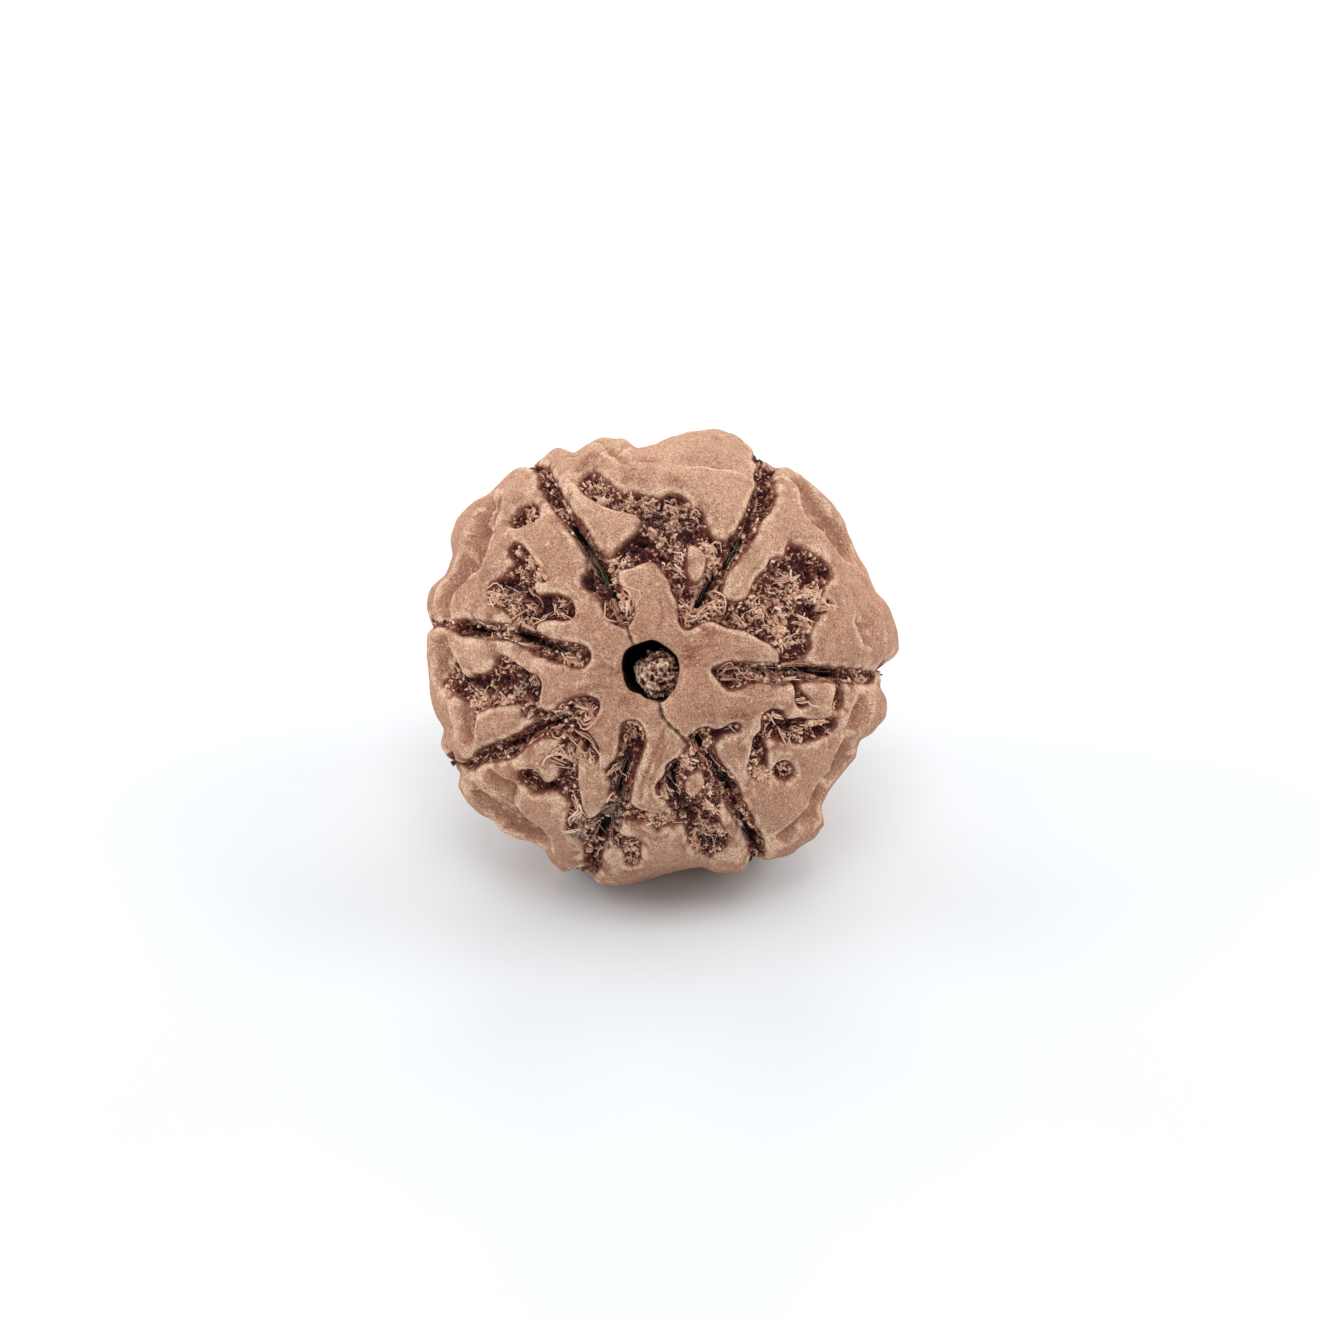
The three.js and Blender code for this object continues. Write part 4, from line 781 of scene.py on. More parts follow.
def read_points(piece, kind="co"):
    points = np.empty(3 * len(piece.data.vertices))
    piece.data.vertices.foreach_get(kind, points)
    return points.reshape(-1, 3)


def write_points(piece, points):
    piece.data.vertices.foreach_set("co", points.astype(np.float32).ravel())
    piece.data.update()


def write_part(piece, name, values):
    layer = piece.data.attributes.new(name, "FLOAT", "POINT")
    layer.data.foreach_set("value", np.asarray(values, np.float32))


def tree_of(points):
    tree = KDTree(len(points))
    for index, point in enumerate(points):
        tree.insert(point, index)
    tree.balance()
    return tree


directions = read_points(stone)
directions /= np.linalg.norm(directions, axis=1)[:, None]
share = np.arccos(np.clip(directions[:, 2], -1, 1)) / math.pi
stone_down = 180 * share * (1 - front_fineness + front_fineness * share)
stone_turn = np.degrees(np.arctan2(directions[:, 1], directions[:, 0]))
smooth_points = smooth_stone(stone_turn, stone_down)
stone_height, stone_parts = stone_relief(smooth_points, stone_down)
stone_points = smooth_points * (1 + stone_height / np.linalg.norm(smooth_points, axis=1))[:, None]
write_points(stone, stone_points * mm)
smooth_tree = tree_of(smooth_points)

# How far each point stands over the mean of those round it, and the area that it stands for
edges = np.empty(2 * len(stone.data.edges), np.int64)
stone.data.edges.foreach_get("vertices", edges)
edges = edges.reshape(-1, 2)
neighbours = np.bincount(edges.ravel(), minlength=len(stone_height))
evening_rounds = 6
evened = stone_height.copy()
for _ in range(evening_rounds):
    total = np.bincount(edges[:, 0], evened[edges[:, 1]], len(evened))
    total += np.bincount(edges[:, 1], evened[edges[:, 0]], len(evened))
    evened = total / neighbours
stone_parts["crest"] = stone_height - evened
edge_area = np.linalg.norm(smooth_points[edges[:, 0]] - smooth_points[edges[:, 1]], axis=1) ** 2
point_area = np.bincount(edges[:, 0], edge_area, len(evened))
point_area += np.bincount(edges[:, 1], edge_area, len(evened))
point_area *= math.sqrt(3) / 2 / neighbours

# The channel is cut right through, with a ragged wall that narrows to its waist
channel_waist = 0.72
channel_overrun = 1.2
channel_rows = 40
channel_edge = (0.04, 0.16)
mouth_radius = radius_curve(mouth_edge)
bpy.ops.object.select_all(action="DESELECT")
bpy.ops.mesh.primitive_cylinder_add(vertices=64, radius=1, depth=2, end_fill_type="TRIFAN")
channel = bpy.context.object
channel.name = "channel_cutter"
bpy.ops.object.mode_set(mode="EDIT")
bpy.ops.mesh.select_mode(type="EDGE")
bpy.ops.mesh.select_all(action="DESELECT")
bpy.ops.object.mode_set(mode="OBJECT")
for edge in channel.data.edges:
    start, end = (channel.data.vertices[index].co for index in edge.vertices)
    edge.select = abs(start.z - end.z) > 1
bpy.ops.object.mode_set(mode="EDIT")
bpy.ops.mesh.subdivide(number_cuts=channel_rows)
bpy.ops.mesh.select_mode(type="VERT")
bpy.ops.object.mode_set(mode="OBJECT")
unit = read_points(channel)
turn = np.degrees(np.arctan2(unit[:, 1], unit[:, 0]))
height = unit[:, 2] * (half_length + channel_overrun)
reach = np.hypot(unit[:, 0], unit[:, 1]) * mouth_radius(turn)
reach *= blend(channel_waist, 1, np.minimum(np.abs(height) / half_length, 1) ** 2)
on_wall = np.column_stack([unit[:, :2] * mouth_size, height])
reach *= 1 + 0.05 * bumps(on_wall, 0.7, 21) + 0.03 * bumps(on_wall, 0.3, 22)
lean = height / half_length
channel_points = np.column_stack([
    front_mouth[0] * lean + reach * np.cos(np.radians(turn)),
    front_mouth[1] * lean + reach * np.sin(np.radians(turn)),
    height,
])
write_points(channel, channel_points * mm)
bpy.ops.object.select_all(action="DESELECT")
stone.select_set(True)
bpy.context.view_layer.objects.active = stone
cut = stone.modifiers.new("channel", "BOOLEAN")
cut.object = channel
cut.operation = "DIFFERENCE"
cut.solver = "MANIFOLD"
bpy.ops.object.modifier_apply(modifier=cut.name)
bpy.data.objects.remove(channel)

# Each point of the cut stone takes what the nearest point of the uncut one is part of
stone_tree = tree_of(stone_points)
cut_points = read_points(stone) / mm
found = [stone_tree.find(point) for point in cut_points]
nearest = np.array([index for _, index, _ in found])
channel_depth = np.array([distance for _, _, distance in found])
for name, values in stone_parts.items():
    write_part(stone, name, values[nearest])
write_part(stone, "in_channel", smooth_step(*channel_edge, channel_depth))


def lay_down(points):
    """Turns points of the upright stone into the way it lies."""
    lean = math.pi / 2 - mouth_rise
    y = points[:, 1] * math.cos(lean) - points[:, 2] * math.sin(lean)
    z = points[:, 1] * math.sin(lean) + points[:, 2] * math.cos(lean)
    return np.column_stack([points[:, 0], y, z])


lying = lay_down(cut_points)
solid_low, solid_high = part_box("seed_stone")
lying_middle = (lying.min(axis=0) + lying.max(axis=0)) / 2
stone_middle = np.array([
    (solid_low.x + solid_high.x) / 2 / mm - lying_middle[0],
    (solid_low.y + solid_high.y) / 2 / mm - lying_middle[1],
    -lying[:, 2].min() - flat_spot_depth,
])


def set_down(piece, points):
    """Puts a piece in its place on the lying stone, with nothing below what it lies on."""
    lying = lay_down(points) + stone_middle
    lying[:, 2] = np.maximum(lying[:, 2], 0)
    write_points(piece, lying * mm)


set_down(stone, cut_points)
bpy.ops.object.shade_smooth()


def srgb(code):
    """A colour given as six hex digits, turned linear."""
    shares = [int(code[place:place + 2], 16) / 255 for place in (1, 3, 5)]
    return [s / 12.92 if s <= 0.04045 else ((s + 0.055) / 1.055) ** 2.4 for s in shares] + [1]


def add_node(kind, settings=(), result=0, **links):
    """Adds a node to the tree at hand and gives its result: settings are its values, links its inputs."""
    node = tree.nodes.new(kind)
    for name, value in dict(settings).items():
        if hasattr(node, name):
            setattr(node, name, value)
        else:
            node.inputs[name].default_value = value
    for name, source in links.items():
        key = int(name[5:]) if name.startswith("input") else name.replace("_", " ")
        socket = node.inputs[key]
        if isinstance(source, str):
            socket.default_value = srgb(source)
        elif isinstance(source, (int, float)):
            socket.default_value = source
        else:
            tree.links.new(source, socket)
    return node.outputs[result] if node.outputs else None


# Settings that several nodes share
colour_mix = {"data_type": "RGBA"}
colour_product = {"data_type": "RGBA", "blend_type": "MULTIPLY"}
multiply_add = {"operation": "MULTIPLY_ADD"}


def tinted(colour, rows):
    """A colour with tints laid over it one by one: rows of where, from, to, strength and tint."""
    for source, low, high, most, tint in rows:
        settings = {"From Min": low, "From Max": high}
        share = add_node("ShaderNodeMapRange", settings, Value=source, To_Max=most)
        colour = add_node("ShaderNodeMix", colour_mix, 2, input0=share, input6=colour, input7=tint)
    return colour


# Woody endocarp, boiled, brushed and dried: a matt, velvety tan skin, speckled with fine pores and
# redder by its edges, over torn fibre that is purple-brown in the pits. Painted light is laid into the
# colour too: a paler top and a darker bottom, painted highlights on the plates' lips and crests, painted
# shade where the plates turn down into the pits and grooves and in the hollows below the crests, and
# painted shade, nearly black, in the splits, the deepest cuts and the channel.
woody = bpy.data.materials.new("woody_endocarp")
woody.use_nodes = True
tree = woody.node_tree
tree.nodes.clear()
place = add_node("ShaderNodeTexCoord", (), 3)
height_over_floor = add_node("ShaderNodeSeparateXYZ", (), 2, Vector=place)
part = {}
for name in [*stone_parts, "in_channel"]:
    part[name] = add_node("ShaderNodeAttribute", {"attribute_name": name}, 2)
# Noises by name: the size of their bumps in millimetres, detail and roughness
noise = {}
for shift, (name, size, detail, rough) in enumerate([
    ["patches", 4.5, 3, 0.5], ["mottles", 1.5, 4, 0.6], ["clouds", 0.7, 3, 0.6], ["grain", 0.085, 3, 0.8],
    ["pores", 0.26, 2, 0.5], ["flecks", 0.2, 2, 0.5], ["blotches", 1.8, 3, 0.6], ["smudges", 0.3, 4, 0.7],
    ["edge", 0.25, 4, 0.7], ["litter", 0.2, 4, 0.8], ["dents", 0.13, 4, 0.75],
    ["waves", 0.4, 3, 0.6], ["lips", 0.8, 2, 0.5], ["hollows", 0.5, 4, 0.7],
]):
    settings = {
        "noise_dimensions": "4D",
        "W": shift,
        "Scale": 1 / (size * mm),
        "Detail": detail,
        "Roughness": rough,
    }
    noise[name] = add_node("ShaderNodeTexNoise", settings, Vector=place)
# How strong a tint is, from another noise: name, from, to, strength
strength = {}
for name, low, high, most in [
    ["blotches", 0.44, 0.64, 0.8], ["smudges", 0.34, 0.6, 0.75], ["lips", 0.38, 0.56, 0.75],
    ["clouds", 0.3, 0.58, 0.5], ["hollows", 0.25, 0.5, 0.5],
]:
    settings = {"From Min": low, "From Max": high, "To Max": most}
    strength[name] = add_node("ShaderNodeMapRange", settings, Value=noise[name])
wobble = add_node("ShaderNodeMath", multiply_add, input0=noise["edge"], input1=0.3, input2=-0.15)
ragged_edge = add_node("ShaderNodeMath", {"operation": "ADD"}, input0=part["to_edge"], input1=wobble)
by_crest = add_node("ShaderNodeMath", {"operation": "ABSOLUTE"}, input0=part["to_crest"])
# The plates' skin: tints laid one over another, each with where it lies, from, to, strength and colour
skin = add_node("ShaderNodeRGB")
skin.default_value = srgb("#c6977c")
skin = tinted(skin, [
    [noise["patches"], 0.38, 0.62, 1.0, "#b98a72"],
    [noise["mottles"], 0.4, 0.68, 0.8, "#cea086"],
    [noise["clouds"], 0.46, 0.7, 0.5, "#a3715b"],
    [part["hub"], 0.0, 1.0, 0.08, "#ad7f69"],
    # Painted light: the skin is paler higher over the floor, where the light from above falls most.
    [height_over_floor, 17.5 * mm, 21.5 * mm, 0.45, "#dfb597"],
    # Painted shade: the skin darkens towards the floor, on the underside of the stone.
    [height_over_floor, 8.0 * mm, 2.5 * mm, 0.35, "#94695a"],
    # Redder and darker towards the pits: partly the skin's own reddish edges, partly painted shade where the
    # plates round down to them.
    [part["to_edge"], 0.65, 0.05, strength["blotches"], "#8d4f41"],
    [part["stained"], 0.0, 0.8, strength["smudges"], "#8a4a3a"],
    # Painted shade in a reddish-brown tone: darker in the valleys and in the hollows below the crests, the
    # further the surface has dropped.
    [part["dropped"], 0.1, 0.4, strength["clouds"], "#a06a54"],
    [part["dropped"], 0.3, 0.62, strength["hollows"], "#6d3c2e"],
    [part["creased"], 0.2, 0.9, 0.55, "#9a644e"],
    # Painted light round the plates' edges: a painted highlight on the lip, then painted shade in a reddish
    # tone where the edge turns down into the pit or groove.
    [part["to_edge"], 0.35, 0.2, strength["lips"], "#efcaad"],
    [part["to_edge"], 0.2, 0.06, strength["smudges"], "#86463a"],
    # Painted highlights: paler where the surface stands over its surroundings, and a bright line along each
    # crest.
    [part["crest"], 0.012, 0.05, strength["lips"], "#ecc6a8"],
    [by_crest, 0.09, 0.04, 0.85, "#f5d1b0"],
    [noise["pores"], 0.6, 0.72, 0.55, "#7d4f3c"],
    [noise["flecks"], 0.6, 0.72, 0.55, "#f2d4bb"],
])
settings = {"From Min": 0.36, "From Max": 0.64, "To Min": 0.45, "To Max": 1.52}
speckle = add_node("ShaderNodeMapRange", settings, Value=noise["grain"])
skin = add_node("ShaderNodeMix", colour_product, 2, input0=1.0, input6=skin, input7=speckle)
# Litter: its noise, brighter where straw-coloured shreds gather and on clumps, with a painted highlight on
# crumbs that stand over their surroundings, picks from a row of tones
litter_tone = noise["litter"]
for name, weight in [["crest", 1.2], ["clump", 0.17], ["purple", -0.16], ["paleness", 0.13]]:
    terms = {"input0": part[name], "input1": weight, "input2": litter_tone}
    litter_tone = add_node("ShaderNodeMath", multiply_add, **terms)
ramps = []
for tones in (
    ["#472120", "#733d37", "#9b5e4e", "#c68f76", "#efcab0"],
    ["#41211b", "#6f4234", "#98614b", "#bd8a6b", "#e2ba97"],
):
    ramp = add_node("ShaderNodeValToRGB", Fac=litter_tone)
    for at, tone in zip((0.32, 0.4, 0.48, 0.56, 0.67), tones):
        ramp.node.color_ramp.elements.new(at).color = srgb(tone)
    ramp.node.color_ramp.elements.remove(ramp.node.color_ramp.elements[-1])
    ramps.append(ramp)
litter = add_node("ShaderNodeMix", colour_mix, 2, input0=part["in_groove"], input6=ramps[0], input7=ramps[1])
litter = tinted(litter, [
    [part["purple"], 0.2, 0.95, 0.6, "#39212f"],
    [ragged_edge, -0.2, -0.04, 0.3, "#55302a"],
])
# The channel's wall is painted nearly black: painted shade down the hole.
channel_shade_tones = {"input6": "#0b0706", "input7": "#2c1b16"}
channel_painted_shade = add_node("ShaderNodeMix", colour_mix, 2, input0=noise["waves"], **channel_shade_tones)
woody_colour = tinted(skin, [
    # Painted shade: a dark reddish band right at the plates' edge, where it turns down into the litter.
    [ragged_edge, 0.11, 0.02, 0.85, "#78402f"],
    [ragged_edge, 0.0, -0.06, 1.0, litter],
    # Painted shade: darker where the cut is deepest, down in the grooves and splits.
    [part["cut_depth"], 1.0, 1.7, 0.6, "#2c1712"],
    # Painted shade: the splits and hairline cracks are painted nearly black.
    [part["to_split"], 0.05, -0.07, 0.9, "#332d25"],
    [part["in_channel"], 0.0, 1.0, 1.0, channel_painted_shade],
])
dents = add_node("ShaderNodeMath", {"operation": "ADD"}, input0=noise["dents"], input1=noise["waves"])
bump = add_node("ShaderNodeBump", {"Strength": 1.0, "Distance": 0.09 * mm}, Height=dents)
finish = {"Roughness": 0.9, "IOR": 1.45, "Specular IOR Level": 0.12}
shader = add_node("ShaderNodeBsdfPrincipled", finish, Base_Color=woody_colour, Normal=bump)
add_node("ShaderNodeOutputMaterial", Surface=shader)
stone.data.materials.clear()
stone.data.materials.append(woody)
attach(stone, "root")
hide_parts("seed_stone")

# The pith: what is left of the fruit's core in the channel, a dry crumbly plug. It is sunk a little
# below the front mouth, open on its upper left, and grown to the wall all round further in, where its colour
# is painted nearly black as painted shade.
pith_middle = np.array([0.42, -0.28])
pith_radius = 1.12
pith_wide_radius = 1.55
pith_sunk = 0.4
pith_length = 6
pith_squareness = 5
pith_widens_at = (2.8, 4.4)
bpy.ops.object.select_all(action="DESELECT")
bpy.ops.mesh.primitive_ico_sphere_add(subdivisions=7, radius=1)
pith = bpy.context.object
pith.name = "pith"
unit = read_points(pith)
squared = np.hypot(unit[:, 0], unit[:, 1]) ** pith_squareness + np.abs(unit[:, 2]) ** pith_squareness
unit /= squared[:, None] ** (1 / pith_squareness)
height = half_length - pith_sunk + pith_length * (unit[:, 2] - 1) / 2
widened = smooth_step(*pith_widens_at, half_length - height)
reach = blend(pith_radius, pith_wide_radius, widened)
reach *= 1 + 0.1 * bumps(np.column_stack([unit[:, :2] * pith_radius, height]), 0.7, 44) * (1 - widened)
lean = height / half_length
pith_points = np.column_stack([
    front_mouth[0] * lean + pith_middle[0] * (1 - widened) + unit[:, 0] * reach,
    front_mouth[1] * lean + pith_middle[1] * (1 - widened) + unit[:, 1] * reach,
    height,
])
pith_crumbs = 0.14 * ridges(pith_points, 0.5, 41)
pith_crumbs += 0.15 * ridges(pith_points, 0.22, 42) + 0.07 * bumps(pith_points, 0.12, 43)
write_points(pith, pith_points)
pith_points += pith_crumbs[:, None] * read_points(pith, "normal")
set_down(pith, pith_points)
write_part(pith, "crumbs", pith_crumbs)
write_part(pith, "sunk", half_length - height)
bpy.ops.object.shade_smooth()
crumbly = bpy.data.materials.new("dried_pith")
crumbly.use_nodes = True
tree = crumbly.node_tree
tree.nodes.clear()
place = add_node("ShaderNodeTexCoord", (), 3)
crumbs = add_node("ShaderNodeAttribute", {"attribute_name": "crumbs"}, 2)
settings = {"Scale": 1 / (0.18 * mm), "Detail": 4, "Roughness": 0.8}
specks = add_node("ShaderNodeTexNoise", settings, Vector=place)
# The pith's tone follows its crumbs' height as well as speckles: painted shade in the hollows between crumbs
# and painted highlights on their tops.
pith_tone = add_node("ShaderNodeMath", multiply_add, input0=crumbs, input1=1.1, input2=specks)
ramp = add_node("ShaderNodeValToRGB", Fac=pith_tone)
ramp.node.color_ramp.elements.remove(ramp.node.color_ramp.elements[-1])
for at, tone in [[0.42, "#3b241d"], [0.5, "#724c40"], [0.58, "#aa7c67"], [0.68, "#f0d2ba"]]:
    ramp.node.color_ramp.elements.new(at).color = srgb(tone)
ramp.node.color_ramp.elements[0].position = 0.3
ramp.node.color_ramp.elements[0].color = srgb("#150d0b")
sunk = add_node("ShaderNodeAttribute", {"attribute_name": "sunk"}, 2)
# Painted shade: the pith darkens to nearly black the deeper it lies in the channel.
pith_colour = tinted(ramp, [[sunk, 0.9, 1.8, 1.0, "#0f0a08"]])
grit = add_node("ShaderNodeTexNoise", {"Scale": 1 / (0.1 * mm), "Detail": 3, "Roughness": 0.7}, Vector=place)
pith_bump = add_node("ShaderNodeBump", {"Strength": 0.6, "Distance": 0.06 * mm}, Height=grit)
finish = {"Roughness": 0.9, "IOR": 1.45, "Specular IOR Level": 0.15}
shader = add_node("ShaderNodeBsdfPrincipled", finish, Base_Color=pith_colour, Normal=pith_bump)
add_node("ShaderNodeOutputMaterial", Surface=shader)
pith.data.materials.append(crumbly)
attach(pith, "root")
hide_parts("seed_stone")

# Torn flakes of the inner tissue, which brushing leaves standing in the pits and grooves: thin curled
# scales, shavings and straws, purple-brown to straw-coloured and paler towards the torn tip.
chance = np.random.default_rng(2207)
mouth_clearance = 0.3
flakes_from_edge = 0.05
outward = smooth_points / np.linalg.norm(smooth_points, axis=1)[:, None]
open_litter = (
    (stone_parts["litter"] > 0.8)
    & (stone_parts["to_edge"] < -flakes_from_edge)
    & (stone_parts["in_split"] < 0.5)
    & (np.linalg.norm(smooth_points - back_mouth, axis=1) > mouth_size + mouth_clearance)
    & (np.linalg.norm(smooth_points - [*front_mouth, half_length], axis=1) > mouth_size + mouth_clearance)
)


def straight_strip(sections, tip, root):
    """A flat closed strip of unit length along +Y, narrower at its root and tip."""
    bpy.ops.object.select_all(action="DESELECT")
    bpy.ops.mesh.primitive_grid_add(x_subdivisions=1, y_subdivisions=sections, size=1, location=(0, 0.5, 0))
    strip = bpy.context.object
    for end, width in ((1, tip), (0, root)):
        bpy.ops.object.mode_set(mode="EDIT")
        bpy.ops.mesh.select_all(action="DESELECT")
        bpy.ops.object.mode_set(mode="OBJECT")
        for vertex in strip.data.vertices:
            vertex.select = abs(vertex.co.y + 0.5 - end) < 0.01
        bpy.ops.object.mode_set(mode="EDIT")
        bpy.ops.transform.resize(value=(width, 1, 1))
        bpy.ops.object.mode_set(mode="OBJECT")
    thicken = strip.modifiers.new("thickness", "SOLIDIFY")
    thicken.thickness = 1
    thicken.offset = 0
    bpy.ops.object.modifier_apply(modifier=thicken.name)
    bpy.ops.object.transform_apply(location=True)
    points = read_points(strip)
    faces = [list(face.vertices) for face in strip.data.polygons]
    bpy.data.objects.remove(strip)
    return points, np.array(faces)


def across(vectors, to):
    """The part of each vector that is square to another, at unit length."""
    square = vectors - (vectors * to).sum(axis=1)[:, None] * to
    return square / np.linalg.norm(square, axis=1)[:, None]


def twisted(points, widths, thickness, spin):
    """How far sideways and upward the points of a strip lie once it is twisted, for each of its copies."""
    flat = points[:, 0] * widths[:, None]
    thick = points[:, 2] * thickness
    return flat * np.cos(spin) - thick * np.sin(spin), flat * np.sin(spin) + thick * np.cos(spin)


def curled_copies(points, bases, headings, lifts, sizes, curls, twists):
    """Copies of a strip of given width, length and thickness, along headings and curled towards lifts."""
    along = points[:, 1]
    bend = curls[:, None] * along
    ahead = np.divide(np.sin(bend), bend, out=np.ones_like(bend), where=bend != 0)
    raised = np.divide(1 - np.cos(bend), bend, out=np.zeros_like(bend), where=bend != 0)
    sideways, upward = twisted(points, sizes[:, 0], sizes[:, 2:], twists[:, None] * along)
    length = along * sizes[:, 1:2]
    places = bases[:, None] + headings[:, None] * (length * ahead - upward * np.sin(bend))[..., None]
    places += np.cross(headings, lifts)[:, None] * sideways[..., None]
    places += lifts[:, None] * (length * raised + upward * np.cos(bend))[..., None]
    return places.reshape(-1, 3)


def joined_copies(name, faces, points, count, parts):
    """One piece of many copies of a shape."""
    per_copy = len(points) // count
    all_faces = (faces[None] + per_copy * np.arange(count)[:, None, None]).reshape(-1, faces.shape[1])
    mesh = bpy.data.meshes.new(name)
    mesh.from_pydata((points * mm).tolist(), [], all_faces.tolist())
    piece = bpy.data.objects.new(name, mesh)
    bpy.context.scene.collection.objects.link(piece)
    set_down(piece, points)
    for part_name, values in parts.items():
        write_part(piece, part_name, values)
    return piece


# Torn fibre of the inner tissue, dry and a little silky: purple-brown to straw-coloured, faintly streaked
torn = bpy.data.materials.new("torn_inner_fibre")
torn.use_nodes = True
tree = torn.node_tree
tree.nodes.clear()
place = add_node("ShaderNodeTexCoord", (), 3)
tone_of_copy = add_node("ShaderNodeAttribute", {"attribute_name": "tone"}, 2)
settings = {"Scale": 1 / (0.12 * mm), "Detail": 2, "Roughness": 0.6}
streaks = add_node("ShaderNodeTexNoise", settings, Vector=place)
streaks = add_node("ShaderNodeMath", multiply_add, input0=streaks, input1=0.3, input2=-0.15)
fibre_tone = add_node("ShaderNodeMath", {"operation": "ADD"}, input0=tone_of_copy, input1=streaks)
ramp = add_node("ShaderNodeValToRGB", Fac=fibre_tone)
for at, tone in [[0.25, "#723d38"], [0.5, "#a06453"], [0.75, "#d9a58a"]]:
    ramp.node.color_ramp.elements.new(at).color = srgb(tone)
ramp.node.color_ramp.elements[0].color = srgb("#4c2523")
ramp.node.color_ramp.elements[-1].color = srgb("#f5d4b9")
purple = add_node("ShaderNodeAttribute", {"attribute_name": "purple"}, 2)
fibre_colour = tinted(ramp, [[purple, 0.2, 0.95, 0.4, "#512d3a"]])
finish = {"Roughness": 0.8, "IOR": 1.45, "Specular IOR Level": 0.2}
shader = add_node("ShaderNodeBsdfPrincipled", finish, Base_Color=fibre_colour)
add_node("ShaderNodeOutputMaterial", Surface=shader)


def tones_at(chosen, mean, spread):
    """How pale the tissue is at chosen points of the stone: mostly dark, with pale clumps."""
    at = smooth_points[chosen]
    here = {name: values[chosen] for name, values in stone_parts.items()}
    clumps = 0.25 * bumps(at, 1.3, 31) + 0.9 * here["clump"] + 0.3 * bumps(at, 0.25, 33)
    clumps += 0.42 * here["paleness"] - 0.2 * here["in_groove"]
    clumps -= 0.45 * here["purple"] + 0.1 * smooth_step(-0.4, -0.1, here["to_edge"])
    clumps += chance.normal(0, spread, len(chosen))
    return smooth_step(-0.1, 1.0, clumps + mean)


# Each lot of flakes: name, how many to a square millimetre in front, at the sides and where they gather,
# sections, least and greatest width, length and lean, curl, mean tone and spread of tones
flake_lots = [
    ["torn_scales", 26, 8, 8, 4, (0.08, 0.2), (0.13, 0.32), (0.0, 0.55), 1.8, 0.34, 0.5],
    ["torn_curls", 16, 5, 8, 5, (0.03, 0.06), (0.18, 0.4), (0.0, 0.4), 2.2, 0.5, 0.45],
    ["torn_straws", 2, 1, 30, 5, (0.06, 0.13), (0.24, 0.5), (0.0, 0.4), 1.9, 1.0, 0.4],
]
flake_tip = 0.35
flake_root = 0.7
flake_thickness = (0.03, 0.05)
flake_lift = 0.02
flakes_thin_out_deg = (62, 88)
for name, front, side, gathered, sections, widths, lengths, leans, curl, mean, spread in flake_lots:
    strip_points, strip_faces = straight_strip(sections, flake_tip, flake_root)
    density = blend(front, side, smooth_step(*flakes_thin_out_deg, stone_down))
    density = density + gathered * stone_parts["paleness"]
    density = density * (1 - 0.45 * stone_parts["in_groove"] * (1 - stone_parts["paleness"]))
    clumped = np.clip(0.75 + 1.6 * stone_parts["clump"], 0.15, 1.7)
    density = density * clumped * (1 - 0.5 * stone_parts["purple"])
    chosen = np.flatnonzero(open_litter & (chance.random(len(smooth_points)) < density * point_area))
    count = len(chosen)
    lean = chance.uniform(*leans, count)
    flat_heading = across(chance.normal(size=(count, 3)), outward[chosen])
    headings = flat_heading * np.cos(lean)[:, None] + outward[chosen] * np.sin(lean)[:, None]
    long = chance.uniform(*lengths, count) * (1 + 0.3 * stone_parts["paleness"][chosen])
    wide = chance.uniform(*widths, count)
    sizes = np.column_stack([wide, long, chance.uniform(*flake_thickness, count)])
    flake_points = curled_copies(
        strip_points,
        stone_points[chosen] + flake_lift * outward[chosen],
        headings,
        across(outward[chosen], headings),
        sizes,
        chance.normal(0, curl, count),
        chance.normal(0, curl, count),
    )
    along = np.tile(strip_points[:, 1], count)
    flake_tone = np.repeat(tones_at(chosen, mean, spread), len(strip_points))
    flake_tone = np.clip(flake_tone + 0.2 * (along - 0.5), 0, 1)
    purple = np.repeat(stone_parts["purple"][chosen], len(strip_points))
    flakes = joined_copies(name, strip_faces, flake_points, count, {"tone": flake_tone, "purple": purple})
    flakes.data.materials.append(torn)
    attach(flakes, "root")
    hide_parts("seed_stone")

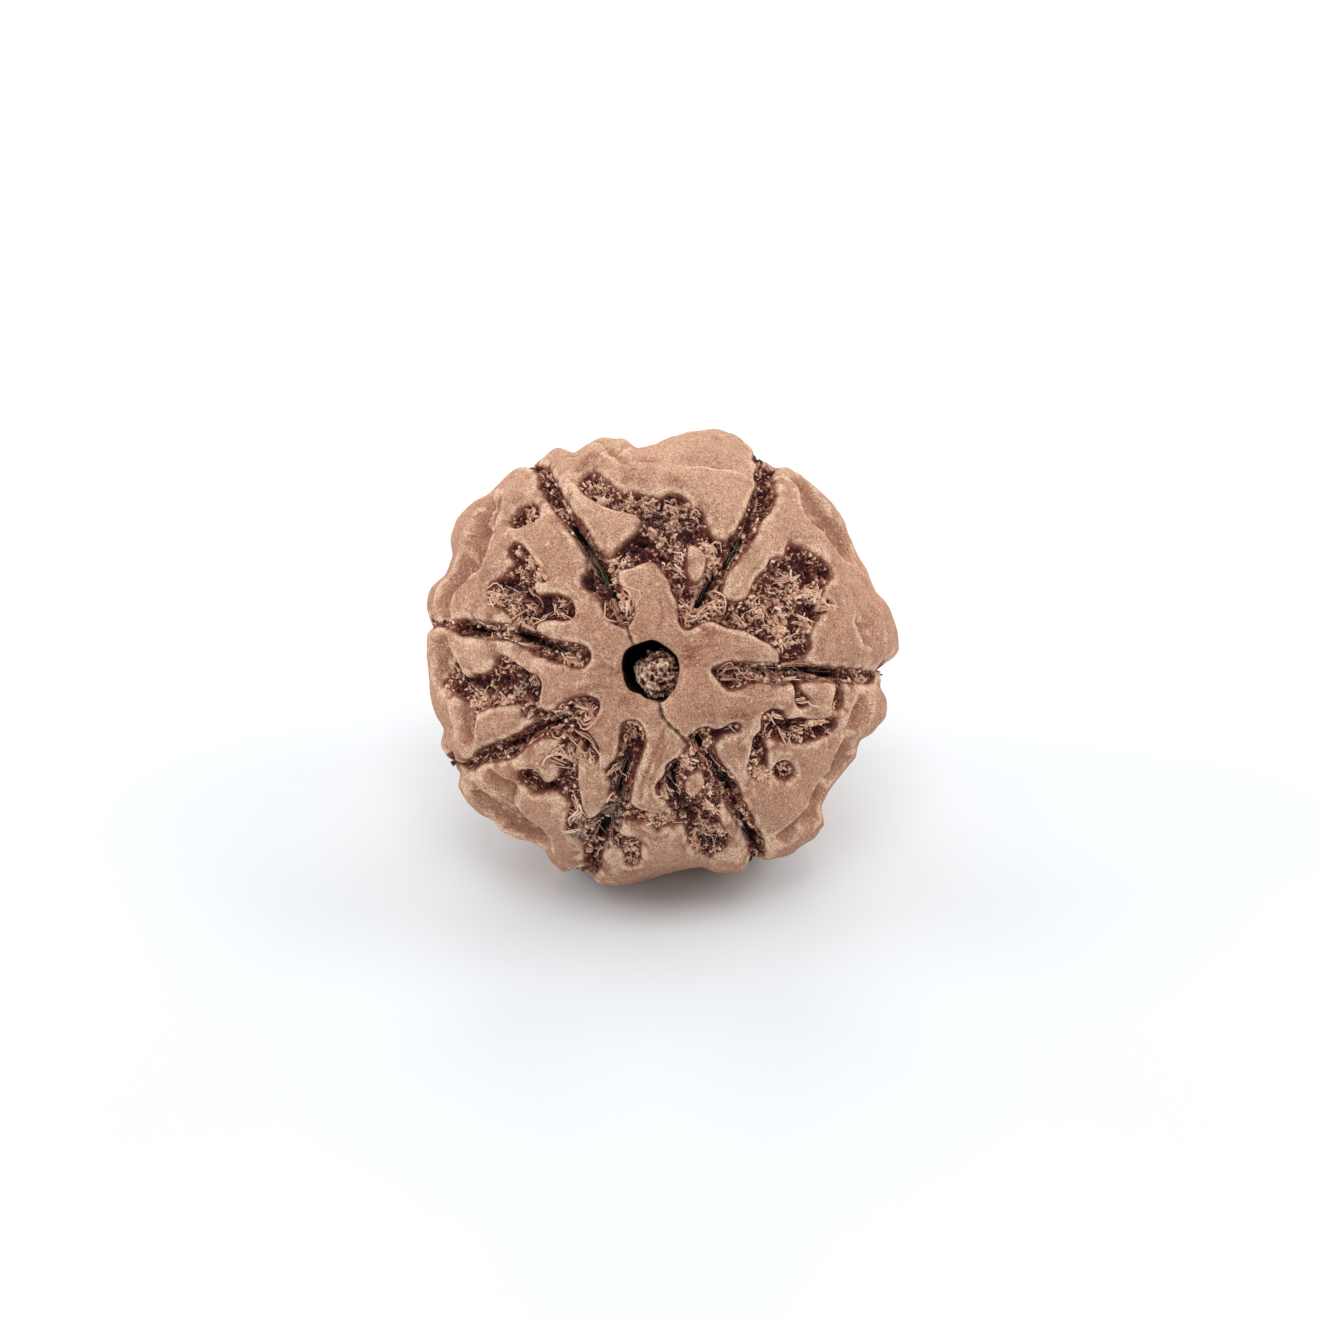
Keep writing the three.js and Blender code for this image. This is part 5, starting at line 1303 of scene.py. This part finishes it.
# Crumbs of the same tissue between the flakes: squashed grains with a few flat sides each
crumb_size = (0.035, 0.125)
crumb_squash = (0.6, 1.3)
crumb_raggedness = (0.75, 1.25)
crumb_scatter = 0.05
crumb_lift = (-0.02, 0.05)
crumbs_from_edge = 0.02
crumb_mean_tone = 0.32
crumb_tone_spread = 0.45
front_to_deg = 72
bpy.ops.object.select_all(action="DESELECT")
bpy.ops.mesh.primitive_ico_sphere_add(subdivisions=1, radius=1)
grain = bpy.context.object
grain_points = read_points(grain)
grain_faces = np.array([list(face.vertices) for face in grain.data.polygons])
bpy.data.objects.remove(grain)
on_front = stone_down < front_to_deg
for name, region, crumb_count in (("front_crumbs", on_front, 9400), ("side_crumbs", ~on_front, 7600)):
    littered = region & (stone_parts["litter"] > 0.6) & (stone_parts["to_edge"] < -crumbs_from_edge)
    spread = np.where(littered & (stone_parts["in_split"] < 0.35), point_area, 0)
    chosen = chance.choice(len(spread), crumb_count, p=spread / spread.sum())
    jitter = chance.normal(0, crumb_scatter, (crumb_count, 3))
    strewn = across(jitter, outward[chosen]) * np.linalg.norm(jitter, axis=1)[:, None]
    middles = stone_points[chosen] + strewn
    middles += outward[chosen] * chance.uniform(*crumb_lift, crumb_count)[:, None]
    first = across(chance.normal(size=(crumb_count, 3)), outward[chosen])
    turns = np.stack([first, np.cross(outward[chosen], first), outward[chosen]], axis=1)
    squash = chance.uniform(*crumb_squash, (crumb_count, 3)) * chance.uniform(*crumb_size, (crumb_count, 1))
    ragged = chance.uniform(*crumb_raggedness, (crumb_count, len(grain_points), 1))
    shaped = grain_points[None] * squash[:, None] * ragged
    crumb_points = (middles[:, None] + shaped @ turns).reshape(-1, 3)
    crumb_tone = tones_at(chosen, crumb_mean_tone, crumb_tone_spread)
    crumb_parts = {"tone": crumb_tone, "purple": stone_parts["purple"][chosen]}
    crumb_parts = {key: np.repeat(values, len(grain_points)) for key, values in crumb_parts.items()}
    crumbs = joined_copies(name, grain_faces, crumb_points, crumb_count, crumb_parts)
    crumbs.data.materials.append(torn)
    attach(crumbs, "root")
    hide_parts("seed_stone")

# Fibres along the grooves: the torn sheets that joined the two halves of each wall. They lie along
# the groove, paler towards its inner end.
fibre_sections = 5
fibre_tip = 0.2
fibre_root = 0.5
fibres_per_mm = 4
fibre_length = (0.5, 1.5)
fibre_least_length = 0.3
fibre_width = (0.03, 0.12)
fibre_thickness = 0.025
fibre_lift = (0.0, 0.12)
fibre_twist = 0.8
fibre_crowding = 0.6
fibre_side = (0.4, 0.95)
fibre_slant = 0.3
fibre_wave = 0.12
fibre_inner_end = (2.6, 0.6)
fibre_mean_tone = 0.42
fibre_inner_paleness = 0.35
fibre_tone_spread = 0.25
fibre_points, fibre_faces = straight_strip(fibre_sections, fibre_tip, fibre_root)
path_shares = np.linspace(0, 1, fibre_sections + 1)


def on_surface(points, lift):
    """Points of the stone's real surface nearest to those of the smooth stone, raised by a lift."""
    nearest = np.array([smooth_tree.find(point)[1] for point in points])
    return points * (1 + (stone_height[nearest] + lift) / np.linalg.norm(points, axis=1))[:, None]


def laid_over(line, lift):
    """A path over the stone along a line of the front, straight where the surface falls away from it."""
    real = on_surface(smooth_stone(*angles_of_place(line[:, 0], line[:, 1])), lift)
    straight = real[0] + np.outer(path_shares, real[-1] - real[0])
    higher = np.linalg.norm(real, axis=1) > np.linalg.norm(straight, axis=1)
    return np.where(higher[:, None], real, straight)


def strands(paths, widths, thickness, twists):
    """Strips laid along paths, each path a row of points, one for each section's end."""
    at = np.rint(fibre_points[:, 1] * fibre_sections).astype(int)
    heading = np.gradient(paths, axis=1)
    heading /= np.linalg.norm(heading, axis=2)[..., None]
    up = paths / np.linalg.norm(paths, axis=2)[..., None]
    side = np.cross(heading, up)
    side /= np.linalg.norm(side, axis=2)[..., None]
    up = np.cross(side, heading)
    spin = twists[:, None] * (0.5 + fibre_points[:, 1])
    sideways, upward = twisted(fibre_points, widths, thickness, spin)
    places = paths[:, at] + side[:, at] * sideways[..., None] + up[:, at] * upward[..., None]
    return places.reshape(-1, 3)


groove_paths = []
groove_tones = []
for line in grooves:
    steps = np.linalg.norm(np.diff(line[:, :3], axis=0), axis=1)
    travelled = np.concatenate([[0], np.cumsum(steps)])
    for _ in range(int(travelled[-1] * fibres_per_mm)):
        start = travelled[-1] * chance.random() ** fibre_crowding
        reach = min(chance.uniform(*fibre_length), travelled[-1] - start)
        if reach < fibre_least_length:
            continue
        inner = smooth_step(*(travelled[-1] - np.array(fibre_inner_end)), start)
        at = start + reach * path_shares
        middle = np.column_stack([np.interp(at, travelled, line[:, axis]) for axis in range(3)])
        half_width = np.interp(at, travelled, line[:, 3])
        heading = np.gradient(middle, axis=0)
        side = np.cross(heading, middle)
        side /= np.linalg.norm(side, axis=1)[:, None]
        offset = chance.choice([-1, 1]) * chance.uniform(*fibre_side)
        offset = offset + chance.normal(0, fibre_slant) * np.linspace(-0.5, 0.5, len(at))
        wave = fibre_wave * np.sin(chance.uniform(0, 6) + chance.uniform(2, 5) * path_shares)
        groove_paths.append(middle + side * ((offset + wave) * half_width)[:, None])
        tone = fibre_mean_tone + fibre_inner_paleness * inner
        groove_tones.append(tone + chance.normal(0, fibre_tone_spread))
groove_paths = np.array(groove_paths)
count = len(groove_paths)
lifts = np.repeat(chance.uniform(*fibre_lift, count), fibre_sections + 1)
groove_paths = on_surface(groove_paths.reshape(-1, 3), lifts).reshape(count, -1, 3)
groove_paths[:, 1:-1] = (groove_paths[:, :-2] + 2 * groove_paths[:, 1:-1] + groove_paths[:, 2:]) / 4
widths = chance.uniform(*fibre_width, count)
placed = strands(groove_paths, widths, fibre_thickness, chance.normal(0, fibre_twist, count))
groove_tone = np.clip(np.repeat(groove_tones, len(fibre_points)), 0, 1)
fibres = joined_copies("groove_fibres", fibre_faces, placed, count, {"tone": groove_tone})
fibres.data.materials.append(torn)
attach(fibres, "root")
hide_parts("seed_stone")

# Straw-coloured shreds, the largest of the torn pieces, each where it lies on the front: start x and y,
# end x and y, width, sideways bow and tone
shred_places = [
    [-8.1, 3.9, -7.4, 3.8, 0.13, 0.1, 0.95], [-7.9, 3.25, -7.3, 3.65, 0.13, -0.1, 1.0],
    [-7.45, 3.65, -6.85, 2.95, 0.11, 0.1, 1.0], [-6.95, 2.6, -6.45, 3.1, 0.09, 0.1, 0.9],
    [-7.8, 3.5, -7.35, 3.2, 0.16, 0.05, 0.95], [-6.3, 3.35, -6.0, 2.85, 0.1, 0.2, 0.95],
    [-6.6, 2.3, -5.95, 2.0, 0.13, 0.1, 0.9], [-6.4, 2.7, -6.25, 2.1, 0.1, 0.1, 0.95],
    [-5.85, 2.45, -4.9, 2.85, 0.1, -0.1, 0.95], [-4.9, 2.87, -4.05, 2.5, 0.09, 0.1, 0.85],
    [-4.75, 3.3, -4.45, 2.8, 0.1, -0.2, 0.95], [-4.5, 3.4, -4.05, 3.3, 0.1, 0.15, 0.9],
    [-6.7, 4.6, -6.35, 4.9, 0.1, 0.1, 0.85], [-5.6, 5.1, -5.15, 4.6, 0.13, 0.1, 0.95],
    [-5.5, 4.75, -4.85, 4.45, 0.1, 0.1, 0.9], [-6.2, 4.1, -5.9, 3.7, 0.1, 0.1, 0.8],
    [-1.75, 3.9, -1.3, 2.95, 0.36, 0.1, 1.0], [-1.3, 4.0, -0.95, 2.85, 0.14, 0.12, 0.9],
    [-2.1, 3.35, -1.35, 2.5, 0.16, -0.1, 0.85], [-1.95, 3.7, -1.5, 3.0, 0.12, -0.05, 0.75],
    [3.0, 3.95, 3.75, 2.8, 0.16, 0.05, 0.95], [1.85, 2.6, 2.95, 3.1, 0.14, -0.05, 0.9],
    [1.55, 3.0, 1.8, 2.15, 0.12, 0.1, 0.75], [2.2, 3.6, 2.0, 2.9, 0.1, 0.1, 0.8],
    [4.4, -0.05, 5.3, -0.34, 0.1, -0.1, 0.9], [3.5, -0.1, 4.4, 0.1, 0.12, 0.1, 0.8],
    [3.6, -0.5, 4.5, -0.5, 0.12, 0.1, 0.8], [5.95, -0.15, 6.4, -0.7, 0.05, 0.05, 0.8],
    [6.7, -0.42, 7.5, -0.36, 0.1, 0.08, 1.0], [7.5, -0.36, 9.1, -0.62, 0.08, 0.1, 0.6],
    [5.8, 0.15, 6.1, -0.35, 0.06, 0.0, 0.7], [6.8, 0.25, 8.2, 0.2, 0.07, 0.08, 0.65],
    [-4.85, -4.25, -4.2, -3.75, 0.14, 0.1, 1.0], [-4.85, -4.3, -4.3, -4.8, 0.16, 0.1, 0.95],
    [-4.2, -3.7, -3.9, -4.7, 0.12, 0.1, 0.95], [-4.5, -4.1, -4.1, -4.5, 0.2, 0.0, 1.0],
    [-3.9, -3.0, -2.7, -4.0, 0.12, 0.1, 0.85], [-3.1, -3.95, -2.7, -4.75, 0.12, 0.1, 0.9],
    [-3.4, -3.6, -3.1, -4.4, 0.1, -0.1, 0.85], [-4.3, -3.0, -3.9, -3.6, 0.1, 0.1, 0.8],
    [-3.75, -6.2, -3.4, -6.95, 0.12, 0.1, 0.9], [-3.35, -6.5, -3.05, -7.3, 0.12, -0.1, 0.95],
    [-4.0, -7.6, -3.35, -6.9, 0.14, 0.1, 0.95], [-3.9, -6.9, -3.5, -7.6, 0.12, 0.1, 0.9],
    [-4.1, -7.9, -3.6, -8.1, 0.12, 0.1, 1.0], [-3.8, -1.9, -2.8, -2.0, 0.22, 0.1, 0.9],
    [-3.9, -2.5, -2.8, -2.3, 0.2, -0.1, 0.9], [-4.9, -2.55, -4.2, -2.2, 0.1, 0.1, 0.9],
    [-5.0, -2.95, -4.3, -2.8, 0.1, -0.1, 0.9], [-3.2, -1.7, -2.7, -2.4, 0.14, 0.15, 0.8],
    [-2.1, -5.25, -1.5, -5.15, 0.16, 0.1, 0.95], [-1.9, -4.8, -1.55, -5.5, 0.12, 0.1, 0.9],
    [-1.05, -4.5, -1.0, -5.85, 0.06, 0.05, 0.6], [-1.0, -3.1, -0.75, -3.7, 0.12, 0.1, 0.75],
    [0.55, -6.15, 1.2, -6.3, 0.16, 0.1, 1.0], [0.7, -5.8, 0.85, -6.4, 0.12, 0.1, 0.9],
    [0.25, -7.65, 1.3, -7.58, 0.08, 0.1, 1.0], [-0.2, -7.6, 0.2, -7.75, 0.2, 0.05, 1.0],
    [2.5, -8.35, 3.6, -8.6, 0.06, -0.15, 0.9], [2.6, -6.5, 3.35, -6.95, 0.14, 0.05, 1.0],
    [2.3, -7.1, 2.6, -7.7, 0.1, 0.2, 0.8], [2.2, -8.2, 2.4, -9.0, 0.1, 0.1, 0.85],
    [1.7, -4.7, 2.1, -5.0, 0.14, 0.05, 1.0], [2.5, -4.3, 3.2, -5.3, 0.07, 0.05, 0.8],
    [5.0, -4.5, 5.25, -4.65, 0.16, 0.0, 1.0], [5.3, -5.3, 5.85, -5.05, 0.1, 0.1, 1.0],
    [5.2, -4.9, 5.4, -5.5, 0.09, 0.1, 0.9], [6.4, -4.9, 6.8, -5.15, 0.09, 0.1, 0.95],
    [6.0, -2.1, 6.5, -2.3, 0.12, 0.1, 1.0], [5.7, -3.3, 6.2, -3.0, 0.08, 0.1, 0.9],
    [6.5, -2.9, 6.6, -3.6, 0.1, 0.05, 0.9], [7.3, -3.0, 7.8, -3.2, 0.16, 0.1, 1.0],
    [8.1, -2.7, 8.7, -2.6, 0.1, 0.1, 0.85], [7.35, -1.5, 7.7, -1.45, 0.16, 0.05, 1.0],
    [8.25, 3.4, 9.0, 3.15, 0.16, 0.05, 1.0], [8.4, 3.2, 8.9, 2.95, 0.1, 0.05, 0.9],
    [7.55, 2.75, 8.1, 2.3, 0.12, 0.1, 1.0], [7.5, 2.5, 7.9, 2.1, 0.1, -0.1, 0.9],
    [6.4, 4.6, 7.0, 4.55, 0.1, -0.1, 0.9], [6.9, 4.5, 7.5, 4.3, 0.12, 0.1, 0.85],
    [5.4, 3.2, 5.8, 2.6, 0.1, 0.1, 0.9], [4.3, 2.7, 4.7, 2.1, 0.12, 0.1, 0.9],
    [5.7, 2.2, 6.2, 1.9, 0.12, 0.1, 0.95], [6.4, 2.2, 6.9, 1.9, 0.1, 0.1, 0.9],
    [2.5, 6.4, 3.5, 5.95, 0.12, 0.05, 1.0], [1.25, 5.65, 1.6, 5.25, 0.16, 0.1, 1.0],
    [1.15, 5.1, 1.5, 4.85, 0.12, -0.1, 1.0], [2.85, 4.8, 3.25, 4.95, 0.14, 0.0, 0.95],
    [0.8, 8.3, 1.3, 8.1, 0.14, 0.1, 0.9], [-0.5, 8.3, -0.15, 8.0, 0.16, 0.1, 0.95],
    [2.1, 7.8, 2.5, 7.6, 0.14, 0.1, 0.95], [-0.1, 6.95, 0.3, 6.75, 0.16, 0.1, 0.9],
]
shred_copies = 3
shred_scatter = 0.07
shred_lift = 0.19
shred_copy_lift = 0.04
shred_thickness = 0.035
shred_twist = 0.7
shred_width_share = 0.75
shred_copy_narrowing = 0.15
shred_second_darker = 0.2
shred_darkening = 0.04
shred_paths = []
shred_rows = []
for start_x, start_y, end_x, end_y, width, bow, tone in shred_places:
    for copy in range(shred_copies):
        shift = chance.normal(0, shred_scatter, 4) * copy
        run = np.array([end_x - start_x, end_y - start_y]) + shift[:2]
        bowed = bow * (1 + copy) * np.sin(math.pi * path_shares)
        bowed += chance.normal(0, shred_scatter) * np.sin(2 * math.pi * path_shares)
        line = np.array([start_x, start_y]) + shift[2:] + np.outer(path_shares, run)
        line += np.outer(bowed, [-run[1], run[0]])
        shred_paths.append(laid_over(line, shred_lift + shred_copy_lift * copy))
        narrowed = width * (shred_width_share - shred_copy_narrowing * copy)
        shred_rows.append([narrowed, tone - shred_second_darker * (copy == 1)])
shred_paths = np.array(shred_paths)
shred_rows = np.array(shred_rows)
count = len(shred_paths)
placed = strands(shred_paths, shred_rows[:, 0], shred_thickness, chance.normal(0, shred_twist, count))
shred_tone = np.clip(np.repeat(shred_rows[:, 1], len(fibre_points)) - shred_darkening, 0, 1)
shreds = joined_copies("straw_shreds", fibre_faces, placed, count, {"tone": shred_tone})
shreds.data.materials.append(torn)
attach(shreds, "root")
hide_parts("seed_stone")

# Bleached hairs: fine grey bast threads that brushing drew out, bundled over the open end of one groove
# and strewn over the pits: start x and y, end x and y, number and spread
hair_places = [
    [-1.7, -7.05, -3.95, -8.2, 13, 0.22], [-1.7, -7.05, -2.4, -9.15, 8, 0.14],
    [-1.7, -7.05, -1.6, -7.8, 6, 0.1], [-1.75, -7.0, -1.4, -6.2, 5, 0.08],
    [-3.9, -8.2, -2.9, -8.7, 6, 0.12], [0.3, 7.7, 0.9, 7.3, 2, 0.2], [5.7, 0.2, 6.1, -0.7, 4, 0.1],
    [3.9, -2.7, 4.2, -3.1, 5, 0.12], [2.3, -8.2, 3.3, -9.0, 6, 0.25], [-7.0, -1.5, -6.4, -0.6, 4, 0.2],
    [-3.0, 6.1, -2.6, 5.0, 5, 0.12], [0.9, -5.2, 1.3, -6.1, 5, 0.12], [-4.8, -2.7, -3.9, -2.2, 5, 0.1],
    [-8.6, 2.1, -7.4, 1.9, 5, 0.12], [-3.5, 6.9, -2.7, 5.4, 6, 0.14], [-2.6, 5.2, -2.1, 4.3, 5, 0.14],
    [3.3, 5.1, 2.5, 3.6, 6, 0.14], [4.7, 6.9, 4.0, 5.7, 5, 0.14], [5.4, 0.1, 7.0, -0.1, 6, 0.12],
    [7.2, 0.1, 9.0, -0.2, 6, 0.12], [3.2, -5.1, 4.1, -6.1, 5, 0.14], [4.6, -7.4, 5.2, -8.7, 5, 0.14],
    [-1.2, -4.4, -1.6, -6.2, 6, 0.14], [-6.9, 1.9, -5.8, 1.5, 5, 0.12], [-5.4, 1.3, -4.3, 0.9, 4, 0.12],
]
hair_lift = (0.05, 0.12)
hair_width = (0.012, 0.026)
hair_thickness = 0.014
hair_twist = 0.8
hair_bow = 0.3
hair_spread_at_ends = [[0.25], [1]]
hair_paths = []
for start_x, start_y, end_x, end_y, number, spread in hair_places:
    for _ in range(number):
        ends = np.array([[start_x, start_y], [end_x, end_y]])
        ends = ends + chance.normal(0, spread, (2, 2)) * hair_spread_at_ends
        run = ends[1] - ends[0]
        bowed = np.outer(np.sin(math.pi * path_shares), [-run[1], run[0]]) * chance.normal(0, hair_bow)
        line = ends[0] + np.outer(path_shares, run) + bowed
        hair_paths.append(laid_over(line, chance.uniform(*hair_lift)))
hair_paths = np.array(hair_paths)
count = len(hair_paths)
widths = chance.uniform(*hair_width, count)
placed = strands(hair_paths, widths, hair_thickness, chance.normal(0, hair_twist, count))
hairs = joined_copies("bleached_hairs", fibre_faces, placed, count, {})
bleached = bpy.data.materials.new("bleached_bast")
bleached.use_nodes = True
bleached_shader = bleached.node_tree.nodes["Principled BSDF"]
bleached_shader.inputs["Base Color"].default_value = srgb("#b9ab9b")
bleached_shader.inputs["Roughness"].default_value = 0.6
bleached_shader.inputs["Specular IOR Level"].default_value = 0.3
hairs.data.materials.append(bleached)
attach(hairs, "root")
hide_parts("seed_stone")

# The surface that the stone lies on: a sheet of smooth white board, much wider than the picture
bpy.ops.object.select_all(action="DESELECT")
board_width = 3
bpy.ops.mesh.primitive_plane_add(size=board_width)
floor = bpy.context.object
floor.name = "floor"
board = bpy.data.materials.new("white_board")
board.use_nodes = True
board_shader = board.node_tree.nodes["Principled BSDF"]
board_shader.inputs["Base Color"].default_value = srgb("#ebf0f4")
board_shader.inputs["Roughness"].default_value = 0.7
board_shader.inputs["Specular IOR Level"].default_value = 0.1
floor.data.materials.append(board)

# Light: a white room with soft panels round the stone, mostly low behind it and at its sides. Each is
# given by where it stands round the stone (0 is right, 90 behind), how high, and its watts.
room_brightness = 0.56
world = bpy.data.worlds.new("white_room")
bpy.context.scene.world = world
world.use_nodes = True
world.node_tree.nodes["Background"].inputs["Color"].default_value = (1, 1, 1, 1)
world.node_tree.nodes["Background"].inputs["Strength"].default_value = room_brightness
panel_distance = 1.3
panel_size = 0.6
for name, around, rise, watts in (
    ("back_right_panel", 45, 18, 4.3),
    ("back_panel", 90, 18, 5.4),
    ("back_left_panel", 135, 18, 4.3),
    ("left_panel", 180, 25, 4.5),
    ("right_panel", 0, 38, 3.9),
    ("front_panel", 270, 66, 4.2),
):
    panel_data = bpy.data.lights.new(name, "AREA")
    panel_data.shape = "SQUARE"
    panel_data.size = panel_size
    panel_data.energy = watts
    panel = bpy.data.objects.new(name, panel_data)
    bpy.context.scene.collection.objects.link(panel)
    level = panel_distance * math.cos(math.radians(rise))
    panel.location = (
        level * math.cos(math.radians(around)),
        level * math.sin(math.radians(around)),
        panel_distance * math.sin(math.radians(rise)),
    )
    panel.rotation_euler = (math.radians(90 - rise), 0, math.radians(around + 90))
bpy.context.scene.view_settings.view_transform = "Standard"

# The camera looks down on the front mouth; the stone's middle sits at this pixel of the picture
picture_size = (1318, 1319)
middle_pixel = (661, 657)
pixels_per_mm = 20
camera_distance = 450
sensor_width = 36
camera_data = bpy.data.cameras.new("camera")
camera_data.sensor_fit = "HORIZONTAL"
camera_data.sensor_width = sensor_width
camera_data.lens = sensor_width * camera_distance * pixels_per_mm / picture_size[0]
camera_data.clip_start = 0.01
camera = bpy.data.objects.new("camera", camera_data)
bpy.context.scene.collection.objects.link(camera)
picture_up = np.array([0, math.sin(mouth_rise), math.cos(mouth_rise)])
towards_camera = np.array([0, -math.cos(mouth_rise), math.sin(mouth_rise)])
aim = stone_middle.copy()
aim[0] += (picture_size[0] / 2 - middle_pixel[0]) / pixels_per_mm
aim += picture_up * (middle_pixel[1] - picture_size[1] / 2) / pixels_per_mm
camera.location = (aim + towards_camera * camera_distance) * mm
camera.rotation_euler = (math.pi / 2 - mouth_rise, 0, 0)
bpy.context.scene.camera = camera
